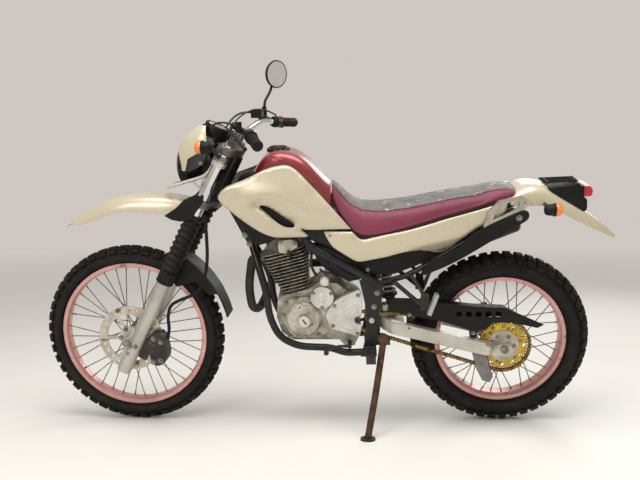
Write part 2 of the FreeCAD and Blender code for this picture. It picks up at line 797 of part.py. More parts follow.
def headlight():
    """The lamp's bowl and, clear of it, the glass."""
    centre = V(LAMP_X, 0, LAMP_Z)
    back = V(1, 0, 0)
    up = V(0, 0, 1)
    bowl = turned([(10, 0), (10, LAMP_R - 6), (4, LAMP_R - 2), (10, BOWL_R), (32, BOWL_R), (62, LAMP_R - 8),
                   (96, 34), (96, 0)], centre, back, up)
    rim_y = LAMP_R - 1
    dome = Part.Wire([
        Part.Arc(centre - V(8, 0, 0), centre + V(-4, 0, rim_y * 0.7), centre + V(3, 0, rim_y)).toShape(),
        Part.makeLine(centre + V(3, 0, rim_y), centre + V(9, 0, rim_y - 7)),
        Part.makeLine(centre + V(9, 0, rim_y - 7), centre + V(9, 0, 0)),
        Part.makeLine(centre + V(9, 0, 0), centre - V(8, 0, 0)),
    ])
    glass = Part.Face(dome).revolve(centre, back, 360)
    ear = FORK_Y - FORK_TUBE_R - FIT
    bracket = plate([(296, 962), (366, 962), (366, 984), (296, 996)], -60, 60)
    bracket = bracket.fuse(plate([(342, 962), (366, 962), (366, 984), (342, 984)], -ear, ear))
    swing = Part.makeCylinder(HEAD_R + RUNNING + 2, FORK_TOP, fork_point(0, 0, 0), UP_FORK)
    return Part.makeCompound([joined([bowl, bracket.cut(swing)]), glass])


def cowl_section(z, front, rear, half):
    """Level section of the cowl: round the lamp's front and back along both sides."""
    outer = [V(rear, -half, z), V((front + rear) / 2, -half * 0.93, z), V(front, 0, z),
             V((front + rear) / 2, half * 0.93, z), V(rear, half, z)]
    t = PANEL_T
    inner = [V(rear, half - t, z), V((front + rear) / 2 + t, half * 0.93 - t, z), V(front + t, 0, z),
             V((front + rear) / 2 + t, t - half * 0.93, z), V(rear, t - half, z)]
    return Part.Wire([
        curve(outer, ARCH_SPACING),
        Part.makeLine(outer[-1], inner[0]),
        curve(inner, ARCH_SPACING),
        Part.makeLine(inner[-1], outer[0]),
    ])


def headlight_cowl():
    """The cream nose over the lamp."""
    hood = Part.makeLoft([
        cowl_section(970, 205, 262, 84),
        cowl_section(1037, 196, 322, 96),
        cowl_section(1085, 226, 322, 92),
        cowl_section(1127, 287, 316, 66),
    ], True, False)
    opening = Part.makeCylinder(BOWL_R + FIT, 70, V(LAMP_X - 30, 0, LAMP_Z), V(1, 0, 0))
    return hood.cut(opening)


def headlight_guard():
    """Chromed tube loop that juts out under the lamp, clamped to the fork tubes."""
    half = [V(352, 92, 1012), V(316, 82, 955), V(180, 70, 913), V(157, 24, 902)]
    loop = half + [V(p.x, -p.y, p.z) for p in reversed(half)]
    pieces = [tube(loop, GUARD_R)]
    for side in (-1, 1):
        pieces.append(bar(V(256, side * 76, 936), V(292, side * 76, 908), GUARD_R - 2))
        pieces.append(bar(V(292, side * 76, 908), V(302, side * 84, 944), GUARD_R - 2))
        pieces.append(fork_ring(GUARD_RING, 16, CLAMP_R - 5, FORK_TUBE_R + FIT, side * FORK_Y))
    return clear_of_leg(clear_of_leg(joined(pieces), 1), -1)


def instrument():
    """The round meter behind the cowl and its bracket to the upper clamp."""
    axis = V(0.42, 0, 0.91)
    dial = Part.makeCylinder(44, 40, V(326, 0, 1082), axis)
    foot = fork_block(UPPER_CLAMP + 4, UPPER_CLAMP + 20, CLAMP_NOSE + FIT, 92, -14, 14)
    return joined([dial, foot])


def front_signals():
    """Turn signals on stalks from rings on the fork tubes: black body and clear of it the lens."""
    pieces = []
    for side in (-1, 1):
        middle = V(330, side * SIGNAL_Y, 1066)
        body = bar(middle, middle + V(36, 0, 0), SIGNAL_R - 3)
        lens = bar(middle - V(31, 0, 0), middle - V(FIT, 0, 0), SIGNAL_R)
        foot = fork_point(SIGNAL_RING + 9, 32, side * 118)
        stalk = tube([middle + V(22, 0, 0), middle + V(30, -side * 40, -14), foot], 7)
        ring = fork_ring(SIGNAL_RING, 18, CLAMP_R - 4, FORK_TUBE_R + FIT, side * FORK_Y)
        pieces.append(clear_of_leg(joined([body, stalk, ring]), side))
        pieces.append(lens)
    return Part.makeCompound(pieces)


def front_fender():
    """The high front mudguard, an arch that narrows to its drooping tip."""
    t = FENDER_T
    return Part.makeLoft([
        arch(-229, 757, 754, 750, 18, 26, t),
        arch(-179, 797, 788, 768, 40, 54, t),
        arch(-103, 838, 820, 787, 56, 68, t),
        arch(-30, 866, 848, 815, 62, 74, t),
        arch(60, 878, 860, 821, 63, 76, t),
        arch(158, 874, 857, 812, 60, 72, t),
        arch(225, 863, 848, 812, 52, 60, t),
        arch(264, slab_low(264) - FIT, 840, 816, 44, 50, t),
    ], True, False)


def slab_low(x):
    """Height of the underside of the mudguard's plate above the crown, at a place along."""
    low = fork_point(LOWER_CLAMP - FIT - SLAB_T, 0, 0)
    return low.z + (low.x - x) * math.tan(CASTER_RAD)


def fender_mount():
    """Black rear half of the mudguard: a plate under the lower clamp and wings outside the legs."""
    top = LOWER_CLAMP - FIT
    slab = fork_block(top - SLAB_T, top, -24, 72, -58, 58)
    wing_y = FORK_Y + CLAMP_R + 3
    outline = [(172, 820), (213, 847), (246, 878), (286, 896), (308, 888), (314, 872), (292, 842),
               (262, 806), (228, 800), (196, 806)]
    wing = plate(outline, wing_y, wing_y + PANEL_T)
    strap = fork_block(top - SLAB_T, top, 56, 72, 50, wing_y + 1)
    return joined([slab, wing, strap, wing.mirror(ORIGIN, ALONG_Y), strap.mirror(ORIGIN, ALONG_Y)])


def mud_guard():
    """The black splash guard behind the front tyre, carried by the collars of both legs."""
    strip = [V(MUD_R - 4, -48, FRONT_Z), V(MUD_R, -44, FRONT_Z),
             V(MUD_R, 44, FRONT_Z), V(MUD_R - 4, 48, FRONT_Z)]
    strip.append(strip[0])
    guard = Part.Face(Part.makePolygon(strip)).revolve(FRONT_AXLE, ALONG_Y, -MUD_SPAN)
    guard.rotate(FRONT_AXLE, ALONG_Y, -MUD_START)
    outline = [(142, 588), (168, 628), (240, 660), (300, 600), (340, 515), (296, 512), (250, 560),
               (180, 540)]
    pieces = [guard]
    for side in (-1, 1):
        cheek = plate(outline, side * 47 - 3, side * 47 + 3)
        pieces.append(cheek.common(disc(0, FRONT_Z, MUD_R - 1, -60, 60)))
        pieces.append(fork_block(SLIDER_TOP - 50, SLIDER_TOP - 22, FORK_AHEAD - 12, FORK_AHEAD + 8,
                                 side * 45, side * (FORK_Y - SLIDER_R - FIT)))
    return joined(pieces)


def front_caliper():
    """The floating caliper behind the left leg, open round the disc."""
    outline = [(76, 330), (90, 370), (120, 372), (140, 330), (134, 262), (98, 248), (78, 290)]
    body = rounded_plate(outline, -92, -42)
    gap = Part.makeCylinder(FRONT_DISC_R + 6, DISC_T + 2 * RUNNING,
                            FRONT_AXLE + V(0, FRONT_DISC_Y - DISC_T / 2 - RUNNING, 0), ALONG_Y)
    body = body.cut(gap)
    arm = fork_block(AXLE_ALONG - 40, AXLE_ALONG + 44, FORK_AHEAD - 58, FORK_AHEAD - SLIDER_R - FIT,
                     -92, -78)
    return joined([body, arm])


def brake_hose():
    """The front brake's hose, held along the fork and ending at the caliper."""
    return tube([V(312, -118, 820), V(316, -118, 740), V(314, -112, 660), V(300, -98, 590),
                 V(262, -86, 525), V(200, -80, 500), V(160, -78, 478), V(148, -76, 430),
                 V(152, -76, 386), V(143, -72, 347)], HOSE_R)


def frame():
    """Welded steel frame: head tube, backbone, down tube, twin cradle, side tubes, plates and rails."""
    tank, panels, cushion, tail = fuel_tank(), side_panels(), seat(), rear_fender()
    head_low = LOWER_CLAMP + CLAMP_T + RUNNING
    head_height = UPPER_CLAMP - RUNNING - head_low
    head = Part.makeCylinder(HEAD_R, head_height, fork_point(head_low, 0, 0), UP_FORK)
    pieces = [head]
    neck = fork_point(head_low + 46, -10, 0)
    foot = fork_point(head_low + 36, -10, 0)
    pieces.append(tube([neck, V(560, 0, 796), V(720, 0, 742)], SIDE_TUBE_R + 4))
    pieces.append(bar(foot, V(450, 0, 700), SIDE_TUBE_R + 3))
    pieces.append(plate([(372, 900), (455, 846), (425, 765), (392, 810)], -3, 3))
    for side in (-1, 1):
        cradle = [(446, 6, 712), (478, 62, 625), (509, CRADLE_Y, 530), (516, CRADLE_Y, 440),
                  (552, CRADLE_Y, 362), (620, CRADLE_Y, 327), (740, CRADLE_Y, 322),
                  (790, CRADLE_Y, 302), (872, CRADLE_Y, 306)]
        upper = [(585, 10, 788), (640, 80, 752), (665, 96, 705), (758, 104, 655), (850, 104, 604),
                 (900, 104, 572)]
        lower = [(905, 100, 566), (950, RAIL_Y, 578), (1000, RAIL_Y, 590), (1075, RAIL_Y, 630),
                 (1240, RAIL_Y, 738), (1380, 82, 832)]
        for run, radius in ((cradle, TUBE_R), (upper, SIDE_TUBE_R), (lower, SUBFRAME_R)):
            pieces.append(tube([V(x, side * y, z) for x, y, z in run], radius))
        beside = V(0, side * UPPER_RAIL_Y, 0)
        pieces.append(tube([V(708, side * 10, 746), V(770, side * 70, 735), RAIL_FRONT + beside,
                            RAIL_BACK + beside, CROSS_FRONT + beside, CROSS_BACK + beside], SUBFRAME_R))
        pieces.append(boss(V(TANK_PAD_X, side * 22, 780), V(0, 0, 100), 12, tank))
        pieces.append(boss(V(1000, side * RAIL_Y, 747), V(0, side * 80, 0), 7, panels))
        pieces.append(boss(V(1196, side * RAIL_Y, 799), V(0, side * 80, 0), 7, panels))
        pieces.append(boss(V(1140, side * UPPER_RAIL_Y, 783), V(0, 0, 60), 8, cushion))
        pieces.append(boss(V(1424, side * 52, 864), V(0, 0, 100), 8, tail))
        outline = [(841, 580), (862, 592), (910, 578), (926, 548), (920, 505), (912, 470), (916, 400),
                   (906, 345), (884, 296), (846, 292), (858, 340), (866, 400), (864, 480), (853, 530)]
        pieces.append(plate(outline, side * PLATE_Y, side * (PLATE_Y + PLATE_T)))
    for cross in (CROSS_FRONT, CROSS_BACK):
        pieces.append(disc(cross.x, cross.z, SUBFRAME_R - 1, -UPPER_RAIL_Y, UPPER_RAIL_Y))
    pieces.append(disc(870, 552, 14, -PLATE_Y, PLATE_Y))
    pieces.append(disc(872, 312, 11, -PLATE_Y, PLATE_Y))
    pieces.append(disc(SHOCK_TOP.x, SHOCK_TOP.z + 20, 12, -104, 104))
    bracket = [(900, 385), (935, 378), (952, 366), (952, 338), (898, 338)]
    pieces.append(plate(bracket, -PLATE_Y - PLATE_T, -PLATE_Y))
    fork_end = STAND_HINGE - STAND_AXIS * (STAND_EYE_HALF + FIT)
    pieces.append(bar(fork_end, STAND_HINGE - STAND_AXIS * 37, STAND_EYE_R - 2))
    whole = joined(pieces)
    stem = Part.makeCylinder(STEM_R + FIT, FORK_TOP, fork_point(0, 0, 0), UP_FORK)
    pivot = disc(PIVOT_X, PIVOT_Z, PIVOT_BOLT_R + FIT, -PLATE_Y - 30, PLATE_Y + 30)
    return whole.cut(stem).cut(pivot)


def swingarm():
    """Two box arms that spread past the chain from the pivot tube, and the brace between them."""
    outline = [(864, 448), (880, 458), (905, 450), (925, 441), (1320, 345), (1384, 340), (1393, REAR_Z),
               (1384, 302), (1330, 300), (1290, 305), (925, 395), (900, 412), (876, 411), (864, 422)]
    side_view = plate(outline, 40, 140)
    plan = [(855, 56), (905, 56), (965, ARM_IN), (1400, ARM_IN), (1400, ARM_OUT), (955, ARM_OUT),
            (905, 79), (855, 79)]
    points = [V(x, y, 250) for x, y in plan]
    points.append(points[0])
    arm = side_view.common(Part.Face(Part.makePolygon(points)).extrude(V(0, 0, 300)))
    arm = arm.cut(disc(WHEELBASE, REAR_Z, AXLE_R + AXLE_GAP, 90, 140))
    pieces = [arm, arm.mirror(ORIGIN, ALONG_Y)]
    pieces.append(disc(PIVOT_X, PIVOT_Z, PIVOT_R, -PLATE_Y + FIT, PLATE_Y - FIT))
    pieces.append(disc(PIVOT_X, PIVOT_Z, PIVOT_BOLT_R, -PLATE_Y - PLATE_T - 8, PLATE_Y + PLATE_T + 8))
    pieces.append(plate([(930, 396), (930, 430), (1002, 424), (1002, 388)], -ARM_IN - 2, ARM_IN + 2))
    for side in (-1, 1):
        pieces.append(plate([(945, 424), (952, 464), (976, 464), (985, 420)], side * 12.3, side * 19))
    return joined(pieces)


def rear_axle():
    """The axle through both arms and the hub, with its nut."""
    shaft = disc(WHEELBASE, REAR_Z, AXLE_R, -ARM_OUT - 12, ARM_OUT + 12)
    nut = disc(WHEELBASE, REAR_Z, 14, -ARM_OUT - 12, -ARM_OUT - FIT)
    cap = disc(WHEELBASE, REAR_Z, 14, ARM_OUT + FIT, ARM_OUT + 12)
    return joined([shaft, nut, cap])


def rear_shock():
    """Single shock in the middle: coil as stacked turns, and its eyes."""
    low = SHOCK_FOOT
    axis = (SHOCK_TOP - low).normalize()
    length = (SHOCK_TOP - low).Length
    profile = [(18, 0), (18, 16), (40, 16), (40, 30)]
    turns = 7
    pitch = (length - 90) / turns
    for number in range(turns):
        start = 44 + number * pitch
        profile += [(start, 24), (start + pitch * 0.3, 31), (start + pitch * 0.6, 31)]
    profile += [(length - 44, 24), (length - 44, 30), (length - 24, 30), (length - 24, 0)]
    side = axis.cross(ALONG_Y).normalize()
    body = turned(profile, low, axis, side)
    eye = disc(low.x, low.z, 12, -12, 12)
    shank = bar(low, low + axis * 30, 8)
    top = bar(low + axis * (length - 30), low + axis * length, 10)
    return joined([body, eye, shank, top])


def tilted(place):
    """A place given from the barrel's foot, upright, moved to the tilted engine."""
    angle = math.radians(CYLINDER_TILT)
    x = place.x * math.cos(angle) - place.z * math.sin(angle)
    z = place.x * math.sin(angle) + place.z * math.cos(angle)
    return V(CYLINDER_X + x, place.y, CYLINDER_Z + z)


def crankcase():
    """The engine's closed lower half."""
    deck_front = tilted(V(-56, 0, -FIT))
    deck_rear = tilted(V(56, 0, -FIT))
    outline = [(541, 430), (546, 500), (deck_front.x, deck_front.z), (deck_rear.x, deck_rear.z),
               (700, 566), (760, 560), (800, 530), (838, 500), (846, 440), (842, 362), (824, 322),
               (792, 318), (768, 345), (600, 345), (560, 372)]
    case = plate(outline, -CASE_HALF, CASE_HALF)
    sump = plate([(612, 340), (672, 340), (672, 352), (612, 352)], -40, 40)
    return joined([case, sump])


def tilt(shape):
    """A cylinder part drawn upright on its base, tilted forward with the engine."""
    leaned = shape.copy()
    leaned.rotate(ORIGIN, ALONG_Y, -CYLINDER_TILT)
    leaned.translate(V(CYLINDER_X, 0, CYLINDER_Z))
    return leaned


def fin(z, front, rear, half, thickness):
    """One cooling fin with clipped corners."""
    corners = [(FIN_CLIP - front, -half), (rear - FIN_CLIP, -half), (rear, FIN_CLIP - half),
               (rear, half - FIN_CLIP), (rear - FIN_CLIP, half), (FIN_CLIP - front, half),
               (-front, half - FIN_CLIP), (-front, FIN_CLIP - half)]
    return facet([V(x, y, z) for x, y in corners]).extrude(V(0, 0, thickness))


def cylinder():
    """The finned barrel."""
    pieces = [Part.makeCylinder(BORE_R, HEAD_JOINT)]
    for number in range(CYLINDER_FINS):
        grow = number * 3.2
        pieces.append(fin(8 + number * FIN_PITCH, 50 + grow, 52 + grow, 66 + number, FIN_T))
    return tilt(joined(pieces))


def cylinder_head():
    """The finned head under its cam cover, with both ports."""
    base = HEAD_JOINT + FIT
    core = Part.makeBox(110, 100, 78, V(-56, -50, base))
    pieces = [core]
    for number in range(HEAD_FINS):
        pieces.append(fin(base + 4 + number * FIN_PITCH, 80, 78, 74, FIN_T))
    cover = Part.makeCylinder(44, 100, V(0, -50, base + 62), ALONG_Y)
    cover = cover.common(Part.makeBox(120, 110, 60, V(-60, -55, base + 60)))
    pieces.append(cover)
    pieces.append(Part.makeCylinder(20, PORT_OUT - 50, V(-50, 0, PORT_UP), V(-1, 0, 0)))
    inlet = Part.makeCylinder(19, INLET_LENGTH, INLET_FOOT, INLET_BACK)
    return joined([tilt(joined(pieces)), inlet])


def engine_covers():
    """Left covers over generator, gear and sprocket, and the clutch cover on the right."""
    face = -COVER_FACE
    side = -CASE_HALF - FIT
    generator = disc(GENERATOR_X, GENERATOR_Z, GENERATOR_R, face + 8, side)
    dome = Part.makeCone(GENERATOR_R - 8, GENERATOR_R, 8, V(GENERATOR_X, face, GENERATOR_Z), ALONG_Y)
    outline = [(556, 440), (570, 490), (600, 512), (720, 520), (752, 500), (741, 400), (700, 362),
               (600, 358)]
    skirt = plate(outline, face + 16, side)
    pieces = [generator, dome, skirt]
    pieces.append(disc(GENERATOR_X, GENERATOR_Z - 2, 21, face - 4, face + 2))
    pieces.append(disc(628, 483, 13, face - 2, face + 10))
    pieces.append(disc(708, 516, 42, face + 6, side))
    pieces.append(disc(717, 578, 17, face + 14, side))
    pieces.append(plate([(700, 545), (734, 545), (730, 580), (704, 580)], face + 16, side))
    left = joined(pieces)
    outline = [(756, 459), (758, 492), (766, 505), (838, 541), (848, 494), (848, 400), (836, 374),
               (756, 398)]
    gear = plate(outline, face - 2, CHAIN_Y - CHAIN_HALF - 1.5)
    gear = gear.cut(disc(838, 433, 15, face - 5, -CASE_HALF))
    post = disc(766, 430, 7, CHAIN_Y - CHAIN_HALF - 2, side)
    gear = joined([gear, post])
    clutch = disc(700, 430, 68, CASE_HALF + FIT, 108)
    ignition = disc(620, 420, 50, CASE_HALF + FIT, 96)
    outline = [(556, 430), (580, 500), (720, 520), (790, 480), (780, 390), (700, 358), (600, 360)]
    right_skirt = plate(outline, CASE_HALF + FIT, 88)
    right = joined([clutch, ignition, right_skirt])
    return Part.makeCompound([left, gear, right])


def carburettor():
    """Carburettor between the head's inlet and the air box, with its float bowl."""
    inlet = INLET_FOOT + INLET_BACK * (INLET_LENGTH + FIT)
    boot = (AIR_BOX_FRONT - FIT - inlet.x) / INLET_BACK.x
    throat = bar(inlet, inlet + INLET_BACK * boot, 22).common(Part.makeBox(
        AIR_BOX_FRONT - FIT - inlet.x + 20, 60, 200, V(inlet.x - 20, -30, 560)))
    chamber = Part.makeBox(56, 64, 58, V(712, -32, 618))
    bowl = Part.makeCylinder(24, 40, V(740, 0, 582))
    top = Part.makeCylinder(26, 26, V(738, 0, 672))
    return joined([throat, chamber, bowl, top])


def air_box():
    """Black air box behind the carburettor, cut away round the shock."""
    low = V(0, 0, -SUBFRAME_R - FIT)
    rise = (RAIL_BACK - RAIL_FRONT).normalize()
    roof_front = RAIL_FRONT + low * (1 / rise.x)
    roof_back = RAIL_BACK + low * (1 / rise.x)
    outline = [(AIR_BOX_FRONT, 614), (AIR_BOX_FRONT, 684), (roof_front.x, roof_front.z),
               (roof_back.x, roof_back.z), (1101, 690), (1052, 634), (966, 600), (912, 596)]
    box = plate(outline, -AIR_BOX_HALF, AIR_BOX_HALF)
    axis = SHOCK_TOP - SHOCK_FOOT
    room = Part.makeCylinder(40, axis.Length * 2, SHOCK_FOOT, axis)
    return box.cut(room).cut(disc(SHOCK_TOP.x, SHOCK_TOP.z + 20, 13, -110, 110))


def exhaust():
    """The header's loop ahead of the down tube, back along the right, and the high muffler."""
    port = tilted(V(-PORT_OUT - FIT, 0, PORT_UP))
    pipe = tube([port, tilted(V(-PORT_OUT - 36, 0, PORT_UP)), V(432, 12, 520), V(440, 36, 430),
                 V(462, 84, 408), V(484, 128, 446), V(520, 142, 530), V(640, 144, 574),
                 V(900, 144, 574), V(1060, 158, 592)], PIPE_R)
    low = V(1050, 158, 588)
    high = V(1440, 168, 742)
    axis = (high - low).normalize()
    length = (high - low).Length
    profile = [(0, 0), (0, 20), (40, MUFFLER_R), (length - 12, MUFFLER_R), (length, MUFFLER_R - 10),
               (length, 0)]
    can = turned(profile, low, axis, axis.cross(ALONG_Y).normalize())
    outlet = bar(high - axis * 10, high + axis * 26, 13).cut(bar(high, high + axis * 27, 11))
    hanger = plate([(1290, 690), (1330, 712), (1330, 770), (1290, 750)], COVER_OUT + FIT, 130)
    return joined([pipe, can, outlet, hanger])


def fuel_tank():
    """The closed tank between the shrouds."""
    tank = Part.makeLoft([
        body_section(458, 952, 905, 22, 30, 14),
        body_section(494, 1000, 866, 60, 63, 18),
        body_section(532, 1031, 846, 82, 86, 22),
        body_section(598, 1034, 842, 90, 94, 24),
        body_section(648, 1012, 836, 88, 92, 24),
        body_section(698, 965, 824, 78, 85, 22),
        body_section(740, 922, 812, 62, 78, 20),
    ], True, False)
    tank = tank.cut(Part.makeCylinder(CAP_R + FIT, 60, V(CAP_X, 0, CAP_Z - FIT)))
    shrouds = tank_shrouds()
    pieces = [tank]
    for x, z in SHROUD_BOSSES:
        for side in (-1, 1):
            pieces.append(boss(V(x, side * 60, z), V(0, side * 100, 0), 8, shrouds))
    return joined(pieces)


def fuel_cap():
    """The round cap on the tank's top."""
    low = V(CAP_X, 0, CAP_Z)
    return joined([Part.makeCylinder(CAP_R, 10, low), Part.makeCylinder(CAP_R - 9, 17, low)])


def side_shell(sections):
    """A panel through upright sections: place along, then height and side of top, middle and low."""
    rings = []
    for x, top, top_y, mid, mid_y, low, low_y in sections:
        rings.append(([V(x, top_y, top), V(x, mid_y, mid), V(x, low_y, low)], V(0, 1, 0)))
    return shell(rings, PANEL_T)


def tank_shrouds():
    """Cream shrouds beside the tank, each with its slanted air slot."""
    panel = side_shell([
        (356, 884, -134, 877, -136, 870, -134),
        (385, 929, -134, 890, -142, 852, -136),
        (447, 954, -128, 880, -152, 800, -136),
        (520, 984, -114, 880, -156, 754, -130),
        (590, 998, -106, 880, -156, 746, -126),
        (640, 968, -106, 866, -152, 748, -124),
        (700, 905, -110, 830, -144, 762, -124),
        (760, 834, -116, 806, -132, 774, -122),
        (810, 777, -120, 775, -121, 772, -120),
    ])
    slot = rounded_plate([(497, 861), (528, 855), (578, 824), (616, 790), (590, 788), (540, 820)], -170, -90)
    return both(panel.cut(slot))


def side_panels():
    """Cream panels under the seat, drawn out rearward to the tail."""
    panel = side_shell([
        (722, 755, -122, 740, -126, 722, -122),
        (790, 757, -128, 722, -136, 686, -128),
        (850, 728, -132, 694, -138, 656, -130),
        (936, 744, -130, 710, -134, 672, -128),
        (1039, 774, -126, 736, -130, 690, -124),
        (1100, 792, -124, 744, -127, 682, -120),
        (1170, 810, -118, 762, -121, 707, -114),
        (1240, 824, -113, 800, -115, 764, -112),
        (1288, 832, -111, 815, -112, 792, -110),
    ])
    return both(panel)


def seat():
    """The long stepped seat."""
    return Part.makeLoft([
        body_section(748, 930, 850, 52, 66, 12),
        body_section(793, 884, 782, 78, 104, 14),
        body_section(850, 853, 737, 96, 120, 16),
        body_section(940, 852, 748, 104, 122, 16),
        body_section(1079, 876, 790, 104, 118, 16),
        body_section(1193, 896, 823, 98, 110, 16),
        body_section(1290, 912, 850, 86, 98, 14),
        body_section(1350, 913, 876, 72, 80, 12),
        body_section(1384, 904, 880, 56, 62, 10),
    ], True, False)


def rear_fender():
    """Cream tail behind the seat and the flap under the lamp, one moulding."""
    t = FENDER_T
    tail = Part.makeLoft([
        arch(1296, 918, 888, 842, 102, 108, t),
        arch(1392, 920, 896, 856, 96, 104, t),
        arch(1440, 924, 900, 852, 86, 96, t),
        arch(1494, 926, 900, 848, 74, 84, t),
    ], True, False)
    tail = tail.cut(Part.makeBox(130, 200, 300, V(1262, -100, 700)))
    flap = Part.makeLoft([
        arch(1490, 872, 866, 850, 74, 84, t),
        arch(1564, 849, 842, 826, 68, 78, t),
        arch(1647, 804, 797, 786, 58, 68, t),
        arch(1713, 759, 753, 745, 48, 56, t),
        arch(1751, 725, 721, 716, 30, 38, t),
    ], True, False)
    outline = [(BULKHEAD_X - 7, 850), (BULKHEAD_X - 7, 918), (BULKHEAD_X, 918), (BULKHEAD_X, 850)]
    bulkhead = plate(outline, -72, 72)
    return joined([tail, flap, bulkhead])


def tail_lamp():
    """Black lamp housing behind the tail and, clear of it, the red lens."""
    seat_x = BULKHEAD_X + FIT
    outline = [(seat_x, 898), (1530, 926), (1617, 922), (LENS_X, 914), (LENS_X, 866), (1644, 862),
               (1646, 828), (1618, 830), (1590, 858), (1530, 876), (seat_x, 880)]
    housing = plate(outline, -LAMP_HALF, LAMP_HALF)
    outline = [(LENS_X + FIT, 914), (1660, 911), (1669, 892), (1665, 868), (LENS_X + FIT, 866)]
    lens = plate(outline, -LAMP_HALF + 2, LAMP_HALF - 2)
    return Part.makeCompound([housing, lens])


def rear_signals():
    """Turn signals on stalks from the tail: black body and, clear of it, the lens."""
    tail = rear_fender()
    pieces = []
    for side in (-1, 1):
        middle = V(1513, side * 150, 838)
        body = bar(middle - V(44, 0, 0), middle - V(FIT, 0, 0), SIGNAL_R - 3)
        lens = bar(middle, middle + V(28, 0, 0), SIGNAL_R - 1)
        stalk = boss(middle - V(26, 0, -6), V(0, -side * 90, 0), 7, tail)
        pieces.append(joined([body, stalk]))
        pieces.append(lens)
    return Part.makeCompound(pieces)


def grab_handles():
    """Cast handles on both sides of the tail, open for the hand."""
    outline = [(1268, 780), (1286, 838), (1316, 872), (1392, 892), (1424, 870), (1424, 856), (1404, 842),
               (1330, 800), (1290, 780)]
    opening = [(1300, 806), (1306, 838), (1326, 860), (1386, 874), (1390, 852), (1330, 818)]
    outside = -HANDLE_Y - HANDLE_T / 2
    inside = -HANDLE_Y + HANDLE_T / 2
    handle = plate(outline, outside, inside).cut(plate(opening, outside, inside))
    return both(handle.cut(disc(RACK_HOLE_X, RACK_HOLE_Z, RACK_HOLE_R, outside, inside)))


def rail_covers():
    """Black covers over the tail's lower rails."""
    outline = [(1056, 606), (1176, 656), (1300, 732), (1405, 798), (1424, 822), (1410, 838), (1284, 785),
               (1221, 747), (1170, 696), (1101, 672)]
    return both(plate(outline, -COVER_OUT, -RAIL_Y - SUBFRAME_R - FIT))


def chain_guard():
    """Guard over the chain's upper run with five square windows, and the guide under the lower run."""
    outer = GUARD_OUT
    inner = GUARD_OUT + PANEL_T
    outline = [(946, 466), (946, 506), (1104, 500), (1246, 483), (1359, 478), (1501, 413), (1478, 401),
               (1393, 420), (1319, 423), (1297, 396), (1246, 390), (1144, 424)]
    guard = plate(outline, outer, inner)
    for number in range(5):
        x = 1187 + number * 35
        window = [(x, 444), (x + 20, 442), (x + 20, 462), (x, 464)]
        guard = guard.cut(plate(window, outer, inner))
    roof = [(946, 506), (1104, 500), (1246, 483), (1359, 478), (1359, 474), (1246, 479), (1104, 496),
            (946, 502)]
    pieces = [guard, plate(roof, outer, -70)]
    pieces.append(plate([(1010, 470), (1030, 470), (1030, 417), (1010, 421.5)], outer, inner))
    pieces.append(plate([(1240, 395), (1260, 395), (1260, 361), (1240, 366)], outer, inner))
    cheek = [(1247, 314), (1301, 302), (1327, 212), (1316, 190), (1290, 197), (1262, 250)]
    far_cheek = [(1262, 250), (1296, 246), (1327, 212), (1316, 190), (1290, 197)]
    floor = [(1292, 200), (1316, 194), (1322, 216), (1296, 222)]
    guide = joined([plate(cheek, outer, inner), plate(far_cheek, -76, -72), plate(floor, outer, -72)])
    return Part.makeCompound([joined(pieces), guide])


def footrests():
    """Rider's pegs on their brackets and passenger's folded pegs on tube struts, both sides."""
    peg_y = PLATE_Y + PLATE_T + FIT
    foot = plate([(858, 334), (902, 334), (904, 300), (884, 292), (858, 298)], -peg_y - 12, -peg_y)
    peg = Part.makeBox(34, 84, 24, V(864, -peg_y - 92, 302))
    rider = joined([foot, peg])
    strut_y = -118
    strut = bar(V(962, -RAIL_Y - SUBFRAME_R - 8 - FIT, 578), V(1070, strut_y, 486), 8)
    brace = bar(V(1022, -RAIL_Y - SUBFRAME_R - 7 - FIT, 604), V(1072, strut_y, 526), 7)
    socket = plate([(1058, 476), (1058, 536), (1086, 536), (1092, 480)], strut_y - 10, strut_y + 8)
    folded = plate([(1078, 470), (1108, 545), (1120, 541), (1092, 464)], strut_y - 38, strut_y - 10)
    passenger = joined([strut, brace, socket, folded])
    return Part.makeCompound([both(rider), both(passenger)])


def foot_levers():
    """Shift lever on the left and brake pedal on the right."""
    shaft = bar(V(806, -CASE_HALF - FIT, 336), V(806, -124, 336), 7)
    shift = tube([V(806, -120, 336), V(770, -122, 340), V(722, -124, 325)], 5)
    tip = bar(V(722, -121, 325), V(722, -156, 325), 9)
    left = joined([shaft, shift, tip])
    pedal = tube([V(885, 124, 358), V(800, 126, 330), V(735, 128, 322)], 6)
    pad = Part.makeBox(40, 34, 8, V(708, 116, 320))
    hinge = bar(V(885, PLATE_Y + PLATE_T + FIT, 358), V(885, 130, 358), 11)
    right = joined([pedal, pad, hinge])
    return Part.makeCompound([left, right])


def rear_caliper():
    """The rear caliper above the right arm, open round the disc."""
    body = plate([(1262, 386), (1284, 424), (1324, 436), (1334, 404), (1306, 382), (1274, 362)], 44, 84)
    gap = Part.makeCylinder(REAR_DISC_R + 6, DISC_T + 2 * RUNNING,
                            REAR_AXLE + V(0, REAR_DISC_Y - DISC_T / 2 - RUNNING, 0), ALONG_Y)
    carrier = plate([(1268, 380), (1320, 400), (1330, 356), (1290, 345)], 74, ARM_IN - FIT)
    return joined([body.cut(gap), carrier])


